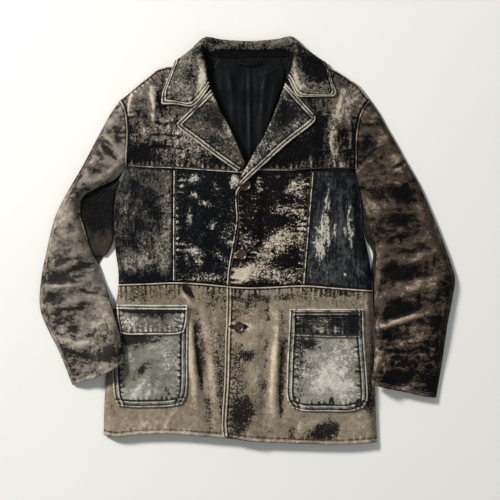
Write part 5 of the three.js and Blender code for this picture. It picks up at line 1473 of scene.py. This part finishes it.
collarLook = {
    "name": "collar_leaf", "node": "collar", "slot": "worn_leather", "flat": (130, 520), "area": 48600,
    "on": ["right_yoke", "left_yoke"],
    "ground": (0.095, 0.087, 0.067), "ground2": (0.13, 0.118, 0.092), "pale": (0.46, 0.42, 0.335),
    "dark": (0.003, 0.003, 0.0035), "tone": -0.04, "flake": 0.85, "cloud": 0.8, "blotch": 1.3,
    "fleck": 3.2,
    "zones": [
        [146, 342, 38, 28, -20, -1.1, 0.1], [150, 306, 22, 12, 0, 0.0, 0.3],
        [96, 320, 8, 24, 0, 0.8, -0.2], [-90, 320, 9, 34, 0, 0.75, -0.3],
        [-112, 330, 18, 18, 0, -0.2, 0.2], [-140, 316, 14, 18, 0, 0.1, 0.3],
        # the zone at (-86, 372) is painted shade on the inner face of the stand
        [-116, 290, 22, 12, 0, 0.15, 0.3], [-86, 372, 16, 16, 0, -0.5, 0],
        [104, 300, 14, 12, 30, 0.35, 0.1], [4, 398, 60, 4, 0, 0.1, 0.5], [98, 384, 14, 16, 0, -0.3, 0.2],
        [-60, 398, 20, 8, 0, -0.4, 0.2],
    ],
    "creases": [
        [-104, 350, -110, 330, -104, 300, -0.6, 4], [-130, 340, -140, 320, -134, 296, 0.5, 5],
        [112, 350, 120, 330, 116, 300, -0.6, 4], [150, 340, 156, 320, 146, 300, 0.5, 5],
        [-98, 376, -92, 350, -90, 320, 0.7, 4], [96, 370, 94, 345, 92, 325, 0.7, 4],
        [-20, 392, 0, 388, 30, 391, -0.6, 2], [-40, 396, -34, 390, -24, 386, 0.5, 2],
    ],
    # the stand's inner face, beside the seam, painted dark as shade
    "paintedShadeBands": [[0.0, 0.1, -1.6]],
}
collarU = np.concatenate([np.linspace(0, 0.86, 66)[:-1], np.linspace(0.86, 1, 15)])
collarV = np.concatenate([np.linspace(0, 0.03, 14)[:-1], np.linspace(0.03, 0.97, 260)[:-1],
                          np.linspace(0.97, 1, 14)])
buildSheet(collarLook, collarSurface(collarU, collarV), 1, ("end", "first", "last"), 73)

# buttons
print("buttons")
holeRing = 2.6
holeRadius = 1.0
holeDepth = 1.4
dishHeight = 2.45
spokeRadius = 2.2
threadRadius = 0.42
threadOffset = 0.42


def millimetres(start):
    # object coordinates in mm
    return start.node("ShaderNodeTexCoord", {}, {}, "Object").vector("MULTIPLY", (1000, 1000, 1000))


def hornMaterial():
    material, start = newShader("horn")
    place = millimetres(start)
    swirl = place.noise((9, 3, 9), 5, 0.7).smooth(0.35, 0.7)
    colour = swirl.mix((0.012, 0.005, 0.004), (0.075, 0.026, 0.015))
    scratch = place.noise((0.8, 9, 3), 3)
    return finishShader(start, material, scratch, 0.08, 0.5, Base_Color=colour,
                        Roughness=scratch * 0.25 + 0.22, Coat_Weight=0.15, Coat_Roughness=0.2)


def threadMaterial(name, colour):
    material, start = newShader(name)
    place = millimetres(start)
    twist = place.noise(0.35, 2)
    tint = place.noise(12, 3).smooth(0.3, 0.7).mix(tuple(c * 0.55 for c in colour), colour)
    return finishShader(start, material, twist, 0.12, 0.8, Base_Color=tint, Roughness=0.75, Sheen_Weight=0.3)


horn = hornMaterial()
buttonThread = threadMaterial("brown_thread", (0.05, 0.026, 0.018))
seamThread = threadMaterial("seam_thread", (0.24, 0.20, 0.145))
# radius and height over the seat, from the underside round the rim to the dish
buttonProfile = [(7.5, 0.1), (10.2, 0.5), (10.9, 1.3), (11, 2.2), (10.6, 3.2), (9.8, 3.8), (9.0, 3.9),
                 (8.3, 3.5), (7.6, 2.9), (6.5, 2.6), (4.4, 2.5)]


def around(centre, radius, angle, height):
    return (centre[0] + radius * math.cos(angle), centre[1] + radius * math.sin(angle), height)


def buildButton(node, centre):
    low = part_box(node)[0][2] / metre
    ring = np.linspace(0, 2 * math.pi, 72, endpoint=False)
    points = [around(centre, radius, a, low + height) for radius, height in buttonProfile for a in ring]
    count = len(ring)
    # the last ring of the profile, round the dish
    inner = len(points) - count
    faces = [(k + i, k + (i + 1) % count, k + count + (i + 1) % count, k + count + i)
             for k in range(0, inner, count) for i in range(count)]
    # the dish has a fan of quads round each of the four holes
    quarter = count // 4
    middle = len(points)
    dish = low + dishHeight
    points.append((*centre, dish))
    for hole in range(4):
        hx, hy, _ = around(centre, holeRing, math.pi / 4 + hole * math.pi / 2, 0)
        outline = [inner + (hole * quarter + i) % count for i in range(quarter + 1)]
        spoke = len(points)
        points += [around(centre, spokeRadius, ring[k * quarter % count], dish) for k in (hole, hole + 1)]
        outline = [middle, spoke, *outline, spoke + 1]
        turns = [math.atan2(points[i][1] - hy, points[i][0] - hx) for i in outline]
        start = len(points)
        points += [around((hx, hy), holeRadius, t, dish - depth) for depth in (0, holeDepth) for t in turns]
        total = len(outline)
        for i in range(total):
            j = (i + 1) % total
            faces.append((outline[i], outline[j], start + j, start + i))
            faces.append((start + i, start + j, start + total + j, start + total + i))
        faces.append(tuple(start + total + i for i in range(total)))
    faces.append(tuple(range(count))[::-1])
    piece = makePiece(f"{node}_horn", points, faces, horn)
    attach(piece, "root")
    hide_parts(node)
    return low


def tube(path, radius, sides=8):
    # a round thread along points, closed at both ends
    path = np.array(path, float)
    along = np.gradient(path, axis=0)
    along /= np.linalg.norm(along, axis=1, keepdims=True)
    side = np.cross(along, [0.13, 0.29, 1.0])
    side /= np.linalg.norm(side, axis=1, keepdims=True)
    up = np.cross(side, along)
    angles = np.linspace(0, 2 * math.pi, sides, endpoint=False)[None, :, None]
    ends = np.ones(len(path))
    ends[[0, -1]] = 0.5
    spokes = np.cos(angles) * side[:, None] + np.sin(angles) * up[:, None]
    points = path[:, None] + radius * ends[:, None, None] * spokes
    faces = []
    for i in range(len(path) - 1):
        for j in range(sides):
            k = (j + 1) % sides
            faces.append((i * sides + j, i * sides + k, (i + 1) * sides + k, (i + 1) * sides + j))
    faces.append(tuple(range(sides))[::-1])
    faces.append(tuple((len(path) - 1) * sides + j for j in range(sides)))
    return points.reshape(-1, 3), faces


threads = []
for node, centre in (
    ("button_top", topButton), ("button_middle", middleButton), ("button_lower", lowerButton),
):
    seat = buildButton(node, centre)
    for turn in (1, -1):
        for shift in (-threadOffset, threadOffset):
            ends = [np.array([holeRing * math.cos(a), holeRing * math.sin(a)]) for a in
                    (turn * math.pi / 4, turn * math.pi / 4 + math.pi)]
            beside = np.array([-ends[0][1], ends[0][0]]) / holeRing * shift
            path = []
            for t in np.linspace(0, 1, 13):
                x, y = lerp(ends[0], ends[1], t) + beside + centre
                path.append((x, y, seat + 1.4 + 2.1 * min(1, 9 * t * (1 - t)) + 0.15 * turn))
            threads.append(tube(path, threadRadius))
points, faces = [], []
for tubePoints, tubeFaces in threads:
    faces += [tuple(i + len(points) for i in face) for face in tubeFaces]
    points += tubePoints.tolist()
buttonThreads = makePiece("button_threads", points, faces, buttonThread)
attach(buttonThreads, "root")

# stitches along the seams
print("stitches")
stitchPitch = 3.6
stitchLength = 2.7
stitchThickness = 0.75
stitchTilt = 0.13
stitchLift = 0.1


def stitchNodes():
    tree = bpy.data.node_groups.new("stitches", "GeometryNodeTree")
    tree.is_modifier = True
    tree.interface.new_socket("Geometry", in_out="INPUT", socket_type="NodeSocketGeometry")
    for label, value in (("Pitch", stitchPitch), ("Length", stitchLength), ("Thickness", stitchThickness)):
        socket = tree.interface.new_socket(label, in_out="INPUT", socket_type="NodeSocketFloat")
        socket.default_value = value * metre
    seed = tree.interface.new_socket("Seed", in_out="INPUT", socket_type="NodeSocketInt")
    seed.default_value = 1
    thread = tree.interface.new_socket("Thread", in_out="INPUT", socket_type="NodeSocketMaterial")
    tree.interface.new_socket("Geometry", in_out="OUTPUT", socket_type="NodeSocketGeometry")

    def make(kind, links=(), settings=(), **values):
        node = tree.nodes.new(kind)
        for key, value in settings:
            setattr(node, key, value)
        for key, source in links:
            tree.links.new(source, node.inputs[key])
        for key, value in values.items():
            node.inputs[key.replace("_", " ")].default_value = value
        return node

    given = make("NodeGroupInput").outputs
    curve = make("GeometryNodeMeshToCurve", [("Mesh", given["Geometry"])])
    spaced = make("GeometryNodeResampleCurve", [("Curve", curve.outputs[0]), ("Length", given["Pitch"])],
                  [("mode", "LENGTH")])
    tangent = make("GeometryNodeInputTangent")
    turned = make("FunctionNodeAlignRotationToVector", [("Vector", tangent.outputs[0])], [("axis", "X")])
    tilt = make("FunctionNodeRandomValue", [("Seed", given["Seed"])], [("data_type", "FLOAT")])
    tilt.inputs[2].default_value, tilt.inputs[3].default_value = -stitchTilt, stitchTilt
    yaw = make("ShaderNodeCombineXYZ", [("Z", tilt.outputs[1])])
    askew = make("FunctionNodeRotateRotation",
                 [("Rotation", turned.outputs[0]), ("Rotate By", yaw.outputs[0])],
                 [("rotation_space", "LOCAL")])
    bead = make("GeometryNodeMeshUVSphere", Segments=6, Rings=4, Radius=0.5)
    size = make("ShaderNodeCombineXYZ",
                [("X", given["Length"]), ("Y", given["Thickness"]), ("Z", given["Thickness"])])
    placed = make("GeometryNodeInstanceOnPoints", [
        ("Points", spaced.outputs[0]), ("Instance", bead.outputs[0]), ("Rotation", askew.outputs[0]),
        ("Scale", size.outputs[0]),
    ])
    real = make("GeometryNodeRealizeInstances", [("Geometry", placed.outputs[0])])
    dyed = make("GeometryNodeSetMaterial", [("Geometry", real.outputs[0]), ("Material", given["Thread"])])
    make("NodeGroupOutput", [("Geometry", dyed.outputs[0])])
    return tree, {"Seed": seed.identifier, "Thread": thread.identifier}


stitchTree, stitchSockets = stitchNodes()


def sewStitches(name, rows, seed):
    points, edges = [], []
    for row in rows:
        edges += [(len(points) + i, len(points) + i + 1) for i in range(len(row) - 1)]
        points += ((row + [0, 0, stitchLift]) * metre).tolist()
    mesh = bpy.data.meshes.new(f"{name}_rows")
    mesh.from_pydata(points, edges, [])
    piece = addObject(f"{name}_stitches", mesh)
    modifier = piece.modifiers.new("stitches", "NODES")
    modifier.node_group = stitchTree
    modifier[stitchSockets["Seed"]] = seed
    modifier[stitchSockets["Thread"]] = seamThread
    made = bpy.data.meshes.new_from_object(piece.evaluated_get(bpy.context.evaluated_depsgraph_get()))
    piece.modifiers.clear()
    piece.data = made
    bpy.data.meshes.remove(mesh)
    made.shade_smooth()
    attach(piece, "root")


for seed, (name, rows) in enumerate(stitchLines.items(), 1):
    sewStitches(name, rows, seed)

# floor, light and camera
print("stage")


def stageMaterial(name, colour, roughness):
    material, start = newShader(name)
    place = start.node("ShaderNodeTexCoord", {}, {}, "Object")
    tint = place.noise(0.6, 2).smooth(0.2, 0.8).mix(tuple(c * 0.97 for c in colour), colour)
    return finishShader(start, material, Base_Color=tint, Roughness=roughness)


floorHalf = 14
floorDrop = 0.0001
floorMesh = bpy.data.meshes.new("floor")
corners = [(x * floorHalf, y * floorHalf, -floorDrop) for x, y in ((-1, -1), (1, -1), (1, 1), (-1, 1))]
floorMesh.from_pydata(corners, [], [(0, 1, 2, 3)])
floorMesh.materials.append(stageMaterial("pale_floor", (0.76, 0.752, 0.718), 0.6))
addObject("floor", floorMesh)

world = bpy.data.worlds.new("studio")
world.use_nodes = True
sky = world.node_tree.nodes["Background"].inputs
sky["Color"].default_value = (0.93, 0.97, 1.0, 1)
sky["Strength"].default_value = 0.27
bpy.context.scene.world = world


def addLight(name, place, size, power, colour):
    light = bpy.data.lights.new(name, "AREA")
    light.shape = "DISK"
    light.size = size
    light.energy = power
    light.color = colour
    # it points at the coat's middle
    lamp = addObject(name, light)
    lamp.location = place
    lamp.rotation_euler = (-lamp.location).to_track_quat("-Z", "Y").to_euler()


addLight("key", (-3.5, 2.7, 2.85), 1.02, 425, (1.0, 0.98, 0.945))
addLight("fill", (1.8, -2.0, 2.6), 2.4, 18, (0.95, 0.98, 1.0))

# from straight above
camera = addObject("camera", bpy.data.cameras.new("camera"))
camera.data.sensor_width = 36
camera.data.lens = 115
camera.location = (0.0055, -0.0198, 3.2)
bpy.context.scene.camera = camera
bpy.context.scene.view_settings.view_transform = "Standard"
